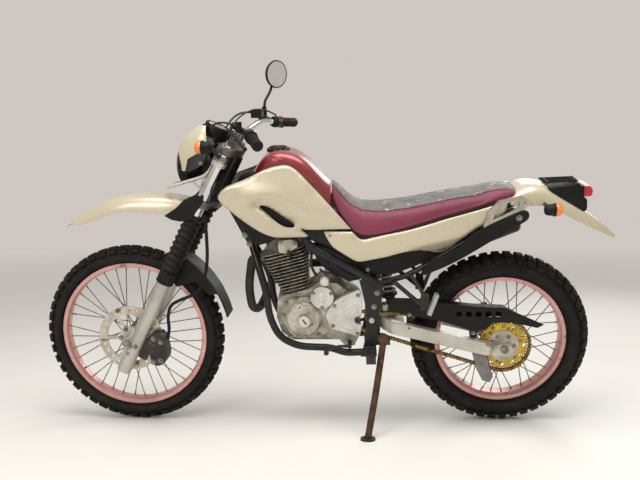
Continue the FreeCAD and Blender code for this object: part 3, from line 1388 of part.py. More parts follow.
def side_stand():
    """The bent steel leg with its eye and the pad that lies flat on the floor."""
    ankle = STAND_SOLE + FLOOR_UP * (STAND_PAD_T - 1)
    leg = tube([STAND_HINGE, STAND_KNEE, ankle], STAND_R)
    half_eye = STAND_AXIS * STAND_EYE_HALF
    eye = bar(STAND_HINGE - half_eye, STAND_HINGE + half_eye, STAND_EYE_R)
    pad = Part.makeCylinder(STAND_PAD_R, STAND_PAD_T, STAND_SOLE, FLOOR_UP)
    floor = Part.makeBox(400, 400, 100, V(STAND_X - 200, STAND_Y - 200, -100))
    floor.rotate(V(STAND_X, STAND_Y, 0), V(1, 0, 0), -LEAN)
    floor.translate(V(0, 0, STAND_SOLE.z))
    return joined([leg, eye, pad]).cut(floor)


def front_tyre():
    """The narrow front tyre."""
    return tyre(FRONT_AXLE, FRONT_TYRE_R, FRONT_TYRE_HALF, FRONT_RIM_R, FRONT_RIM_HALF, camber(True))


def rear_tyre():
    """The wide rear tyre."""
    return tyre(REAR_AXLE, REAR_TYRE_R, REAR_TYRE_HALF, REAR_RIM_R, REAR_RIM_HALF, camber(False))


def front_rim():
    """The 21 inch rim."""
    return rim(FRONT_AXLE, FRONT_RIM_R, FRONT_RIM_HALF)


def rear_rim():
    """The 18 inch rim."""
    return rim(REAR_AXLE, REAR_RIM_R, REAR_RIM_HALF)


def front_spokes():
    """The front wheel's spokes."""
    return spoke_set(FRONT_AXLE, FRONT_FLANGE_R, FRONT_FLANGE_Y, FRONT_RIM_R - RIM_WELL - RIM_WALL)


def rear_spokes():
    """The rear wheel's spokes."""
    return spoke_set(REAR_AXLE, REAR_FLANGE_R, REAR_FLANGE_Y, REAR_RIM_R - RIM_WELL - RIM_WALL)


def front_disc():
    """The front brake disc, left of the hub."""
    return brake_disc(FRONT_AXLE, FRONT_DISC_Y, FRONT_DISC_R, FRONT_DISC_INNER, 6)


def rear_disc():
    """The rear brake disc, right of the hub."""
    return brake_disc(REAR_AXLE, REAR_DISC_Y, REAR_DISC_R, REAR_DISC_INNER, 6)


def rear_sprocket():
    """The large sprocket, on its carrier's boss."""
    return sprocket(REAR_AXLE, REAR_TEETH, CARRIER_R + FIT)


BODIES = {
    "frame": {
        "frame": frame,
        "swingarm": swingarm,
        "rear_axle": rear_axle,
        "rear_shock": rear_shock,
        "rear_caliper": rear_caliper,
        "crankcase": crankcase,
        "cylinder": cylinder,
        "cylinder_head": cylinder_head,
        "engine_covers": engine_covers,
        "carburettor": carburettor,
        "air_box": air_box,
        "exhaust": exhaust,
        "chain": chain_loop,
        "chain_guard": chain_guard,
        "fuel_tank": fuel_tank,
        "fuel_cap": fuel_cap,
        "tank_shrouds": tank_shrouds,
        "side_panels": side_panels,
        "seat": seat,
        "rear_fender": rear_fender,
        "tail_lamp": tail_lamp,
        "rear_signals": rear_signals,
        "grab_handles": grab_handles,
        "rail_covers": rail_covers,
        "footrests": footrests,
        "foot_levers": foot_levers,
    },
    "steering": {
        "fork_sliders": fork_sliders,
        "fork_tubes": fork_tubes,
        "fork_boots": fork_boots,
        "fork_clamps": fork_clamps,
        "front_axle": front_axle,
        "handlebar": handlebar,
        "grips": grips,
        "hand_controls": hand_controls,
        "mirror": rear_view_mirror,
        "headlight": headlight,
        "headlight_cowl": headlight_cowl,
        "headlight_guard": headlight_guard,
        "instrument": instrument,
        "front_signals": front_signals,
        "front_fender": front_fender,
        "fender_mount": fender_mount,
        "mud_guard": mud_guard,
        "front_caliper": front_caliper,
        "brake_hose": brake_hose,
    },
    "front_wheel": {
        "front_tyre": front_tyre,
        "front_rim": front_rim,
        "front_spokes": front_spokes,
        "front_hub": front_hub,
        "front_disc": front_disc,
    },
    "rear_wheel": {
        "rear_tyre": rear_tyre,
        "rear_rim": rear_rim,
        "rear_spokes": rear_spokes,
        "rear_hub": rear_hub,
        "rear_disc": rear_disc,
        "rear_sprocket": rear_sprocket,
    },
    "side_stand": {
        "side_stand": side_stand,
    },
}
STEERED = ("steering", "front_wheel")


def park(shape, body):
    """A piece as it stands on the parked motorcycle."""
    return lean(steer(shape)) if body in STEERED else lean(shape)


parked = {}
for body, makers in BODIES.items():
    for node, make in makers.items():
        parked[node] = park(make(), body)
box = FreeCAD.BoundBox()
for shape in parked.values():
    box.add(shape.optimalBoundingBox(False))
to_origin = V(-box.Center.x, -box.Center.y, -box.ZMin)

os.makedirs("parts", exist_ok=True)
for node, shape in parked.items():
    shape.translate(to_origin)
    shape.exportStep("parts/" + node + ".step")
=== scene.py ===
import json
import math

import bmesh
import bpy
from mathutils import Matrix, Vector
from mathutils.bvhtree import BVHTree
from mathutils.geometry import delaunay_2d_cdt


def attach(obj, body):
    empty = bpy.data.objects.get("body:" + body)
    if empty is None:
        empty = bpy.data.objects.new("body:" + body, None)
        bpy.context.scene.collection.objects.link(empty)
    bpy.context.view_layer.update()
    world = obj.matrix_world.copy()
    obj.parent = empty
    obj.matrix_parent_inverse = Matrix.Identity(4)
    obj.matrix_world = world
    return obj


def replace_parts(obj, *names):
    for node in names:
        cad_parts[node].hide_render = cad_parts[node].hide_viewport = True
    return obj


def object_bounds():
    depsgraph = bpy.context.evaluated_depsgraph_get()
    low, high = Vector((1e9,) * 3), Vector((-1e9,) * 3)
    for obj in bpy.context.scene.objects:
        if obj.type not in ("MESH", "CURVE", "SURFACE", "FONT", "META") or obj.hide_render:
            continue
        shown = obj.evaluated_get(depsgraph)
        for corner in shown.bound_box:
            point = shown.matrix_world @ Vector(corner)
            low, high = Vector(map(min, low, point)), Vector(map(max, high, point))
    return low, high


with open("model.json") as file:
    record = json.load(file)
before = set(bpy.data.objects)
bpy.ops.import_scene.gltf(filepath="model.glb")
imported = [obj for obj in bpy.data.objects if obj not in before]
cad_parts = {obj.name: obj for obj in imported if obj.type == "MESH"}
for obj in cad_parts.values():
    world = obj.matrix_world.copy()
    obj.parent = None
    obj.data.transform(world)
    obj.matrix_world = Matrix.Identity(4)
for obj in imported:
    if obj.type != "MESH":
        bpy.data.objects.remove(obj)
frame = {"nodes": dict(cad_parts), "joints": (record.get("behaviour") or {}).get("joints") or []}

# The size of the imported model; its lowest point sets the floor's height.
cad_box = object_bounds()

# Camera
# It stands three metres to the left of the motorcycle, a little above the seat, and looks
# slightly down. Its place and turn were solved from both wheels in the photograph.
LENS = 47.53
CAMERA_PLACE = Vector((0.0949, -2.9792, 0.898))
PITCH, YAW, ROLL = math.radians(3.9), math.radians(-1.9), math.radians(-0.35)
ahead = Vector((math.sin(YAW) * math.cos(PITCH), math.cos(YAW) * math.cos(PITCH), -math.sin(PITCH)))
level = Vector((math.cos(YAW), -math.sin(YAW), 0))
over = level.cross(ahead)
right = level * math.cos(ROLL) + over * math.sin(ROLL)
top = over * math.cos(ROLL) - level * math.sin(ROLL)
camera = bpy.data.objects.new("camera", bpy.data.cameras.new("camera"))
camera.data.lens = LENS
camera.data.sensor_width = 36
camera.matrix_world = Matrix.Translation(CAMERA_PLACE) @ Matrix((right, top, -ahead)).transposed().to_4x4()
bpy.context.scene.collection.objects.link(camera)
bpy.context.scene.camera = camera

# Frame
# A cradle of welded steel tube under satin black paint, rusting where stones and boots have
# rubbed it. Loose pieces are drawn upright, in millimetres, and stand where the motorcycle leans.
WHEELBASE = 1360
BAR_TURN = math.radians(-4.9)
joints = {joint["name"]: joint for joint in frame["joints"]}
rear_axle = Vector(joints["rear_wheel_spin"]["pos_m"])
across = Vector(joints["rear_wheel_spin"]["axis"])
upward = Vector((1, 0, 0)).cross(across)
REAR_Z = 1000 * rear_axle.z / upward.z
foot = rear_axle - upward * (REAR_Z / 1000) - Vector((WHEELBASE / 1000, 0, 0))
leaning = Matrix.Translation(foot) @ Matrix((Vector((1, 0, 0)), across, upward)).transposed().to_4x4()
leaning = leaning @ Matrix.Scale(0.001, 4)
head = Vector(joints["steering_turn"]["pos_m"])
steering_axis = Vector(joints["steering_turn"]["axis"])
turned = Matrix.Translation(head) @ Matrix.Rotation(BAR_TURN, 4, steering_axis) @ Matrix.Translation(-head)
steered = turned @ leaning
FRONT_Z = (steered.inverted() @ Vector(joints["front_wheel_spin"]["pos_m"])).z
STAND = {"frame": leaning, "rear_wheel": leaning, "steering": steered, "front_wheel": steered}
SIDES = ((-1, "left"), (1, "right"))


def rgb(red, green, blue):
    return tuple((value / 255) ** 2.2 for value in (red, green, blue)) + (1,)


def finish(name, colours, patch=14, rough=(0.4, 0.6), metal=0.0, coat=0.0, grain=500, bump=0.1,
           marks=(), worn=None, dust=None, gloss=0.5, parted=None):
    """Patches of close colours under fine grain, with marks, worn edges (a painted highlight on the
    cylinder's fins), dust, and a second colour past some planes. Colours are red, green and blue from 0 to
    255."""
    material = bpy.data.materials.new(name)
    material.use_nodes = True
    nodes, links = material.node_tree.nodes, material.node_tree.links
    shader = nodes["Principled BSDF"]
    shader.inputs["Metallic"].default_value = metal
    shader.inputs["Coat Weight"].default_value = coat
    shader.inputs["Coat Roughness"].default_value = 0.12
    shader.inputs["Specular IOR Level"].default_value = gloss
    place = nodes.new("ShaderNodeTexCoord").outputs["Object"]

    def cloud(scale, detail):
        noise = nodes.new("ShaderNodeTexNoise")
        noise.inputs["Scale"].default_value = scale
        noise.inputs["Detail"].default_value = detail
        links.new(place, noise.inputs["Vector"])
        return noise.outputs["Fac"]

    def between(value, low, high, start=0.0, end=1.0):
        span = nodes.new("ShaderNodeMapRange")
        for socket, number in zip(("From Min", "From Max", "To Min", "To Max"), (low, high, start, end)):
            span.inputs[socket].default_value = number
        links.new(value, span.inputs["Value"])
        return span.outputs["Result"]

    def over_it(share, below, colour):
        mix = nodes.new("ShaderNodeMix")
        mix.data_type = "RGBA"
        links.new(share, mix.inputs["Factor"])
        links.new(below, mix.inputs[6])
        mix.inputs[7].default_value = rgb(*colour)
        return mix.outputs[2]

    def times(first, second):
        product = nodes.new("ShaderNodeMath")
        product.operation = "MULTIPLY"
        links.new(first, product.inputs[0])
        links.new(second, product.inputs[1])
        return product.outputs["Value"]

    ramp = nodes.new("ShaderNodeValToRGB")
    ramp.color_ramp.elements[0].position = 0.34
    ramp.color_ramp.elements[1].position = 0.66
    start, end, *others = (rgb(*colour) for colour in colours)
    for colour in others:
        ramp.color_ramp.elements.new(0.5).color = colour
    ramp.color_ramp.elements[0].color = start
    ramp.color_ramp.elements[-1].color = end
    links.new(cloud(patch, 5), ramp.inputs["Fac"])
    surface = ramp.outputs["Color"]
    fine = cloud(grain, 3)
    for colour, scale, share in marks:
        surface = over_it(between(cloud(scale, 7), 0.78 - share, 0.84 - share), surface, colour)
    # Edges in a second colour: wear and rust on most finishes, and a painted highlight on the cylinder's
    # fins.
    if worn:
        colour, width = worn
        edge = nodes.new("ShaderNodeBevel")
        edge.samples = 6
        edge.inputs["Radius"].default_value = width
        shape = nodes.new("ShaderNodeNewGeometry")
        facing = nodes.new("ShaderNodeVectorMath")
        facing.operation = "DOT_PRODUCT"
        links.new(edge.outputs["Normal"], facing.inputs[0])
        links.new(shape.outputs["Normal"], facing.inputs[1])
        wear_and_highlight_mask = times(between(facing.outputs["Value"], 0.985, 0.86), between(cloud(90, 5), 0.42, 0.60))
        surface = over_it(wear_and_highlight_mask, surface, colour)
    if dust:
        colour, amount = dust
        shape = nodes.new("ShaderNodeNewGeometry")
        split = nodes.new("ShaderNodeSeparateXYZ")
        links.new(shape.outputs["Normal"], split.inputs["Vector"])
        settled = times(
            between(split.outputs["Z"], 0.1, 1.0, 0.0, amount), between(cloud(35, 6), 0.35, 0.65))
        surface = over_it(settled, surface, colour)
    if parted:
        colour, planes = parted
        share = None
        for point, normal in planes:
            past = nodes.new("ShaderNodeVectorMath")
            past.operation = "DOT_PRODUCT"
            links.new(place, past.inputs[0])
            past.inputs[1].default_value = normal
            start = point.dot(normal)
            beyond = between(past.outputs["Value"], start - 0.0004, start + 0.0004)
            share = times(share, beyond) if share else beyond
        surface = over_it(share, surface, colour)
    links.new(surface, shader.inputs["Base Color"])
    links.new(between(cloud(patch * 3, 6), 0.3, 0.7, *rough), shader.inputs["Roughness"])
    if bump:
        raised = nodes.new("ShaderNodeBump")
        raised.inputs["Strength"].default_value = bump
        raised.inputs["Distance"].default_value = 0.001
        links.new(fine, raised.inputs["Height"])
        if worn:
            links.new(edge.outputs["Normal"], raised.inputs["Normal"])
        links.new(raised.outputs["Normal"], shader.inputs["Normal"])
    return material


def dress(material, *names):
    """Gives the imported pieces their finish."""
    for name in names:
        frame["nodes"][name].data.materials.clear()
        frame["nodes"][name].data.materials.append(material)


def loose(name, body, material, points, faces, crease=35):
    """A piece drawn upright and straight ahead, set down on the body that carries it."""
    mesh = bpy.data.meshes.new(name)
    mesh.from_pydata([tuple(point) for point in points], [], faces)
    mesh.transform(STAND[body])
    mesh.validate()
    mesh.polygons.foreach_set("use_smooth", [True] * len(mesh.polygons))
    mesh.set_sharp_from_angle(angle=math.radians(crease))
    mesh.materials.append(material)
    made = bpy.data.objects.new(name, mesh)
    bpy.context.scene.collection.objects.link(made)
    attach(made, body)
    return made


def prism(points, faces, start, end, radius, sides=6, end_radius=None):
    """Adds a closed bar with flat sides, such as a bolt's head, to a list of points and faces."""
    start, end = Vector(start), Vector(end)
    along = (end - start).normalized()
    side = along.cross(Vector((0.3, 0.2, 0.93))).normalized()
    third = along.cross(side)
    first = len(points)
    for middle, size in ((start, radius), (end, radius if end_radius is None else end_radius)):
        for number in range(sides):
            angle = 2 * math.pi * number / sides
            points.append(middle + (side * math.cos(angle) + third * math.sin(angle)) * size)
    ring = list(range(sides))
    for number in ring:
        after = (number + 1) % sides
        faces.append([first + number, first + after, first + sides + after, first + sides + number])
    faces.append([first + number for number in reversed(ring)])
    faces.append([first + sides + number for number in ring])


def bars(name, body, material, rows):
    """Closed bars in one piece. Each row has both ends, and the radius and so on that prism takes."""
    points, faces = [], []
    for row in rows:
        prism(points, faces, *row)
    loose(name, body, material, points, faces)


def bolts(name, body, places, size, toward=(0, -1, 0), sunk=False):
    """Plated bolts with flanged heads, or socket heads with their hole, seated on a face."""
    rows = []
    toward = Vector(toward)
    for place in places:
        seat = Vector(place)
        rows.append((seat - toward * 1.0, seat + toward * size * 0.16, size * 0.85, 16))
        head_top = seat + toward * size * 0.75
        rows.append((seat, head_top, size * 0.62, 16 if sunk else 6, size * 0.56))
        if sunk:
            rows.append((head_top - toward * 0.2, head_top + toward * 0.3, size * 0.32, 6))
    bars(name, body, zinc, rows)


def bolts_both(name, body, places, size):
    """Bolts on the left, and the same ones on the right."""
    bolts(name, body, places, size)
    bolts(name + "_right", body, [(x, -y, z) for x, y, z in places], size, (0, 1, 0))


def hose(name, body, material, route, radius):
    """A cable or hose of even thickness on one smooth line."""
    line = bpy.data.curves.new(name, "CURVE")
    line.dimensions = "3D"
    line.bevel_depth = radius / 1000
    line.bevel_resolution = 3
    line.resolution_u = 8
    line.use_fill_caps = True
    spline = line.splines.new("NURBS")
    spline.points.add(len(route) - 1)
    for point, place in zip(spline.points, route):
        point.co = tuple(STAND[body] @ Vector(place)) + (1,)
    spline.order_u = 3
    spline.use_endpoint_u = True
    line.materials.append(material)
    made = bpy.data.objects.new(name, line)
    bpy.context.scene.collection.objects.link(made)
    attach(made, body)
    return made


RUST = (92, 58, 38)
frame_paint = finish(
    "frame_paint", [(18, 18, 20), (32, 32, 35)], patch=9, rough=(0.3, 0.55), coat=0.2,
    marks=[((80, 62, 48), 26, 0.06)], worn=(RUST, 0.002), dust=((84, 78, 70), 0.2), gloss=0.3)
dress(frame_paint, "frame")
zinc = finish(
    "zinc_plate", [(150, 146, 138), (112, 108, 100)], patch=60, rough=(0.3, 0.6), metal=0.9,
    marks=[(RUST, 120, 0.12)], bump=0.05)
bolts_both(
    "frame_bolts", "frame", [(904, -111, 538), (893, -111, 485), (441, -121, 754), (456, -120, 722)], 12)

# Engine
# A sand-cast single with turned fins, unpainted and stained by years of oil, salt and mud. Its
# covers are held by small flanged bolts, and the sprocket cover is a paler, newer casting.
cast_alloy = finish(
    "cast_alloy", [(142, 136, 118), (192, 187, 170), (170, 164, 146)], patch=22, rough=(0.42, 0.68),
    metal=0.55, grain=700, bump=0.35, marks=[((74, 60, 46), 30, 0.14), ((206, 203, 194), 75, 0.16)],
    dust=((92, 78, 60), 0.7))
pale_casting = finish(
    "pale_casting", [(188, 186, 178), (212, 210, 203)], patch=18, rough=(0.35, 0.55), metal=0.5, grain=800,
    bump=0.25, marks=[((120, 104, 84), 60, 0.10)])
dress(cast_alloy, "crankcase", "engine_covers", "carburettor")
# The edges of the cylinder's fins are near white: a painted highlight where light catches them. The brown
# marks are stains.
fin_alloy_painted_highlight = finish(
    "fin_alloy_painted_highlight", [(92, 87, 76), (134, 128, 114)], patch=30, rough=(0.42, 0.66), metal=0.3, grain=700,
    bump=0.3, marks=[((66, 54, 42), 30, 0.16)], worn=((240, 236, 226), 0.003))
dress(fin_alloy_painted_highlight, "cylinder", "cylinder_head")
COVER = -108
cover_edge = ((590, 366), (566, 446), (577, 492), (610, 508), (662, 514), (694, 371), (640, 366))
bolts("cover_bolts", "frame", [(x, COVER + 14, z) for x, z in cover_edge], 11, sunk=True)
sprocket_edge = ((752, 488), (836, 528), (834, 382), (746, 412))
bolts("sprocket_cover_bolts", "frame", [(x, COVER - 2, z) for x, z in sprocket_edge], 9)


def lathe(name, body, material, profile, centre, axis=(0, 1, 0), steps=48, crease=30):
    """A turned piece: the profile gives places along the axis and radii, in millimetres."""
    axis = Vector(axis).normalized()
    side = axis.cross(Vector((0.3, 0.2, 0.93))).normalized()
    third = axis.cross(side)
    points, faces = [], []
    for along, radius in profile:
        for number in range(steps):
            angle = 2 * math.pi * number / steps
            points.append(
                Vector(centre) + axis * along + (side * math.cos(angle) + third * math.sin(angle)) * radius)
    for ring in range(len(profile) - 1):
        for number in range(steps):
            after = (number + 1) % steps
            low, high = ring * steps, (ring + 1) * steps
            faces.append([low + number, low + after, high + after, high + number])
    return loose(name, body, material, points, faces, crease)


def ring_of(x, y, z, radius, angles):
    """Places round a centre, seen from the side."""
    return [(x + radius * math.cos(angle), y, z + radius * math.sin(angle)) for angle in angles]


lathe(
    "round_cover", "frame", pale_casting,
    [(0, 41), (-3, 41), (-4.5, 39.5), (-4.5, 33), (-3.2, 32), (-3.2, 17), (-5, 15), (-7.5, 11), (-8, 0.1)],
    (708, COVER + 6, 516))
bolts("round_cover_bolts", "frame", ring_of(708, COVER + 2, 516, 36, (0.5, 2.6, 4.7)), 8)
lathe(
    "generator_boss", "frame", cast_alloy,
    [(0, 57), (-2, 57), (-3, 55.5), (-3.4, 40), (-4.6, 34), (-4.6, 24), (-3, 23), (0.5, 22.8)],
    (641, COVER, 433))
lathe(
    "inspection_plug", "frame", pale_casting,
    [(2, 21), (-5, 21), (-6, 19.8), (-6, 16), (-5, 15.4), (-5, 0.1)], (643, COVER, 428))
lathe(
    "timing_plug", "frame", pale_casting,
    [(2, 13), (-4, 13), (-5, 12), (-5, 9), (-4, 8.6), (-4, 0.1)], (628, COVER, 483))
# The plugs' slots are dark bars laid on their faces: painted shade for the hollow of each slot.
slot_painted_shade = finish("slot_painted_shade", [(26, 24, 22), (44, 40, 36)], patch=60, rough=(0.6, 0.8))
bars(
    "plug_slots", "frame", slot_painted_shade,
    [((636, COVER - 5.5, 437), (650, COVER - 5.5, 419), 2.4, 8), ((624, COVER - 4.5, 480),
     (632, COVER - 4.5, 486), 1.6, 8)])


def plate(name, body, material, outline, y_in, y_out, edge=3.0):
    """A flat casting or pressing: an upright outline between two planes, with rounded edges."""
    size = len(outline)
    points = [Vector((x, y_in, z)) for x, z in outline] + [Vector((x, y_out, z)) for x, z in outline]
    faces = [list(range(size)), [size + n for n in reversed(range(size))]]
    faces += [[(n + 1) % size, n, size + n, size + (n + 1) % size] for n in range(size)]
    made = loose(name, body, material, points, faces, 50)
    rounded = made.modifiers.new("rounded", "BEVEL")
    rounded.width = edge / 1000
    rounded.segments = 3
    rounded.limit_method = "ANGLE"
    return made


opening = ring_of(841, 0, 433, 19, (math.radians(angle) for angle in range(75, 286, 35)))
cutout = [(x, z) for x, _, z in opening]
plate(
    "sprocket_cover", "frame", pale_casting,
    [(724, 437), (719, 448), (724, 462), (741, 488), (756, 506), (790, 526), (841, 549), (850, 520),
     (850, 454)] + cutout + [(850, 411), (843, 375), (836, 371), (741, 399), (730, 424)], COVER + 20,
    COVER - 3, 4)
plate(
    "sprocket_cover_rib", "frame", pale_casting,
    [(748, 446), (752, 455), (790, 482), (832, 502), (835, 496), (835, 466), (810, 440), (812, 414),
     (830, 398), (828, 391), (765, 412), (750, 436)], COVER - 1, COVER - 5, 1.5)

# Leads, hoses and right side of the engine
# The plug's rubber cap, the breather, the float bowl's drain and the leads, with the cam and starter ends,
# and the bolted clutch cover on the right.
soft_rubber = finish(
    "hose_rubber", [(30, 30, 31), (44, 43, 42)], patch=30, rough=(0.5, 0.75), bump=0.1,
    dust=((110, 100, 86), 0.5))
bars(
    "plug_cap", "frame", soft_rubber,
    [((596, -72, 664), (590, -98, 676), 8.5, 14, 7.5), ((590, -98, 676), (596, -106, 690), 7.5, 14, 5.5)])
plate(
    "cam_cover", "frame", cast_alloy,
    [(556, 680), (552, 706), (560, 728), (598, 732), (620, 722), (624, 700), (606, 692), (594, 674)], -72,
    -93, 4)
bolts("cam_cover_bolts", "frame", [(563, -93, 721), (611, -93, 716), (588, -93, 684)], 9)
hose(
    "breather_hose", "frame", soft_rubber,
    [(668, -60, 694), (672, -84, 668), (668, -88, 640), (676, -84, 612), (686, -70, 592)], 5)
hose(
    "drain_hose", "frame", soft_rubber,
    [(706, -70, 672), (742, -86, 650), (770, -90, 618), (800, -86, 596), (826, -74, 584)], 4)
hose(
    "wiring", "frame", soft_rubber,
    [(716, -74, 690), (760, -88, 672), (806, -94, 640), (830, -92, 606), (838, -84, 580)], 5.5)
lathe(
    "starter_end", "frame", pale_casting, [(4, 17), (-14, 17), (-18, 14), (-18, 0.1)],
    (717, COVER + 16, 577))
hose(
    "starter_lead", "frame", soft_rubber,
    [(700, -64, 612), (716, -80, 600), (740, -84, 604), (760, -80, 590), (780, -72, 570)], 4)
CLUTCH = 88
clutch_edge = (
    (566, 432), (586, 492), (650, 500), (712, 511), (780, 474), (772, 396), (704, 366), (604, 367))
bolts("clutch_cover_bolts", "frame", [(x, CLUTCH, z) for x, z in clutch_edge], 11, (0, 1, 0))
lathe(
    "clutch_boss", "frame", cast_alloy,
    [(-1, 58), (3, 58), (4.5, 56), (5, 40), (7, 36), (7, 0.1)], (700, CLUTCH + 20, 430))
lathe(
    "oil_filler_cap", "frame", soft_rubber, [(-1, 15), (8, 15), (11, 13), (11, 0.1)],
    (756, CLUTCH, 468))

# Exhaust
# A steel header in black paint, rusting in the heat, that loops ahead of the down tube and goes
# back along the right into a high muffler.
header_black = finish(
    "header_black", [(34, 30, 28), (50, 43, 39)], patch=16, rough=(0.5, 0.8), grain=400, bump=0.3,
    marks=[((84, 56, 38), 24, 0.14), ((52, 46, 44), 60, 0.18)])
dress(header_black, "exhaust")

# Swingarm and shock
# Two box-section arms in silver paint, dull and chipped by gravel, on a pivot through the frame's
# plates, with one coil shock between them and the rear brake's caliper on the right.
arm_paint = finish(
    "arm_silver", [(166, 161, 148), (198, 194, 182)], patch=8, rough=(0.3, 0.5), metal=0.45, coat=0.2,
    grain=700, bump=0.08, marks=[((96, 80, 62), 34, 0.11), ((122, 116, 104), 11, 0.16)],
    worn=((120, 100, 80), 0.003), dust=((112, 98, 80), 0.5))
dress(arm_paint, "swingarm")
dress(zinc, "rear_axle", "front_axle")
caliper_paint = finish(
    "caliper_paint", [(30, 29, 29), (52, 49, 47)], patch=24, rough=(0.45, 0.7), grain=600, bump=0.3,
    marks=[((110, 70, 44), 40, 0.16)], worn=((120, 104, 88), 0.002))
dress(caliper_paint, "rear_caliper", "front_caliper")
bolts("caliper_bolts", "steering", [(96, -93, 352), (122, -93, 340), (118, -93, 268), (90, -93, 262)], 12)
SHOCK_LOW, SHOCK_HIGH = Vector((964, 0, 452)), Vector((900, 0, 690))
damper = (SHOCK_HIGH - SHOCK_LOW).normalized()
shock_steel = finish(
    "shock_black", [(36, 36, 38), (54, 53, 52)], patch=30, rough=(0.35, 0.6), coat=0.2, worn=(RUST, 0.002),
    dust=((112, 98, 80), 0.6))
shock = lathe(
    "shock_body", "frame", shock_steel,
    [(-11, 0.1), (-11, 11), (11, 11), (11, 18), (40, 18), (40, 30), (47, 30), (47, 15), (118, 15), (118, 9),
     (195, 9), (195, 30), (204, 30), (222, 24), (222, 10), (246, 10), (246, 0.1)], SHOCK_LOW, damper)
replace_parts(shock, "rear_shock")
spring_paint = finish(
    "spring_paint", [(150, 146, 140), (182, 178, 170)], patch=40, rough=(0.3, 0.5), coat=0.3,
    marks=[(RUST, 60, 0.12)], dust=((112, 98, 80), 0.6))
side = damper.cross(Vector((0, 1, 0))).normalized()
turns, ring, sides = 7.5, 20, 8
COIL_START, COIL_LENGTH, COIL_R, WIRE_R = 51, 138, 25.5, 4.5
points, faces = [], []
for number in range(int(turns * ring) + 1):
    angle = 2 * math.pi * number / ring
    out = side * math.cos(angle) + Vector((0, 1, 0)) * math.sin(angle)
    middle = SHOCK_LOW + damper * (COIL_START + COIL_LENGTH * number / (turns * ring)) + out * COIL_R
    for corner in range(sides):
        turn = 2 * math.pi * corner / sides
        points.append(middle + out * (WIRE_R * math.cos(turn)) + damper * (WIRE_R * math.sin(turn)))
    if number:
        for corner in range(sides):
            after = (corner + 1) % sides
            low, high = (number - 1) * sides, number * sides
            faces.append([low + corner, low + after, high + after, high + corner])
loose("shock_spring", "frame", spring_paint, points, faces, 60)

# Chain drive
# A roller chain of 118 links from the engine's sprocket, under its cover, to the gold rear
# sprocket, whose paint is worn off at the teeth. The guard is black plastic.
PITCH_LENGTH = 12.7
LINK_R, WAIST, PIN_R, ROLLER_R = 6.2, 4.2, 2.6, 4.2
CHAIN_SIDE = -88
DRIVE = Vector((826, 0, 430))
DRIVEN = Vector((WHEELBASE, 0, REAR_Z))
small, large = (PITCH_LENGTH / (2 * math.sin(math.pi / teeth)) for teeth in (15, 48))
between_axles = DRIVEN - DRIVE
slope = math.atan2(between_axles.z, between_axles.x)
spread = math.acos((small - large) / between_axles.length)
run = math.sqrt(between_axles.length ** 2 - (large - small) ** 2)
back_arc, front_arc = 2 * spread * large, 2 * (math.pi - spread) * small
chain_length = 2 * run + back_arc + front_arc


def on_chain(distance):
    """The place of a pin, that far round from the top of the large sprocket."""
    distance %= chain_length
    if distance < back_arc:
        angle = slope + spread - distance / large
        return DRIVEN + Vector((math.cos(angle), 0, math.sin(angle))) * large
    distance -= back_arc
    if distance < run:
        out = Vector((math.cos(slope - spread), 0, math.sin(slope - spread)))
        return DRIVEN + out * large + Vector((out.z, 0, -out.x)) * distance
    distance -= run
    if distance < front_arc:
        angle = slope - spread - distance / small
        return DRIVE + Vector((math.cos(angle), 0, math.sin(angle))) * small
    out = Vector((math.cos(slope + spread), 0, math.sin(slope + spread)))
    return DRIVE + out * small + Vector((out.z, 0, -out.x)) * (distance - front_arc)


links = round(chain_length / PITCH_LENGTH)
pins = [on_chain(chain_length * number / links) for number in range(links)]
points, faces = [], []
for number, pin in enumerate(pins):
    after = pins[(number + 1) % links]
    along = (after - pin).normalized()
    out = Vector((along.z, 0, -along.x))
    outline = []
    for middle, first in ((pin, 0.5), (after, -0.5)):
        for step in range(6):
            angle = math.pi * (first + step / 5)
            outline.append(middle + along * (LINK_R * math.cos(angle)) + out * (LINK_R * math.sin(angle)))
    waist = (pin + after) / 2
    outline = outline[:6] + [waist - out * WAIST] + outline[6:] + [waist + out * WAIST]
    near, far = (3.9, 5.3) if number % 2 else (5.6, 7.0)
    for face_in, face_out in ((near, far), (-far, -near)):
        first = len(points)
        size = len(outline)
        for y in (face_in, face_out):
            points += [Vector((p.x, CHAIN_SIDE + y, p.z)) for p in outline]
        faces += [
            [first + i, first + (i + 1) % size, first + size + (i + 1) % size, first + size + i]
            for i in range(size)]
        faces += [[first + i for i in reversed(range(size))], [first + size + i for i in range(size)]]
    for half, radius in ((7.0, PIN_R), (3.8, ROLLER_R)):
        prism(
            points, faces, (pin.x, CHAIN_SIDE - half, pin.z), (pin.x, CHAIN_SIDE + half, pin.z), radius, 8)
chain_steel = finish(
    "chain_steel", [(104, 84, 48), (150, 122, 66)], patch=50, rough=(0.3, 0.6), metal=0.8, grain=900,
    bump=0.2, marks=[((46, 36, 28), 40, 0.22)])
chain = loose("drive_chain", "frame", chain_steel, points, faces, 40)
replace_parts(chain, "chain")
gold_paint = finish(
    "gold_paint", [(176, 142, 34), (206, 170, 52)], patch=20, rough=(0.3, 0.5), metal=0.75,
    marks=[((92, 62, 34), 36, 0.15)], worn=((84, 66, 48), 0.002), bump=0.1)
dress(gold_paint, "rear_sprocket")
black_plastic = finish(
    "black_plastic", [(15, 15, 16), (25, 25, 26)], patch=7, rough=(0.4, 0.6), grain=1100, bump=0.2,
    marks=[((44, 42, 41), 10, 0.08)], dust=((66, 62, 58), 0.15), gloss=0.25)
dress(black_plastic, "chain_guard", "rail_covers", "air_box", "mud_guard", "fender_mount", "instrument")
bolts("guard_bolts", "frame", [(1020, -104, 452), (1250, -104, 382)], 9)
plate(
    "guard_lining", "frame", black_plastic,
    [(1176, 432), (1176, 474), (1356, 470), (1356, 434)], -70, -72.5, 1)
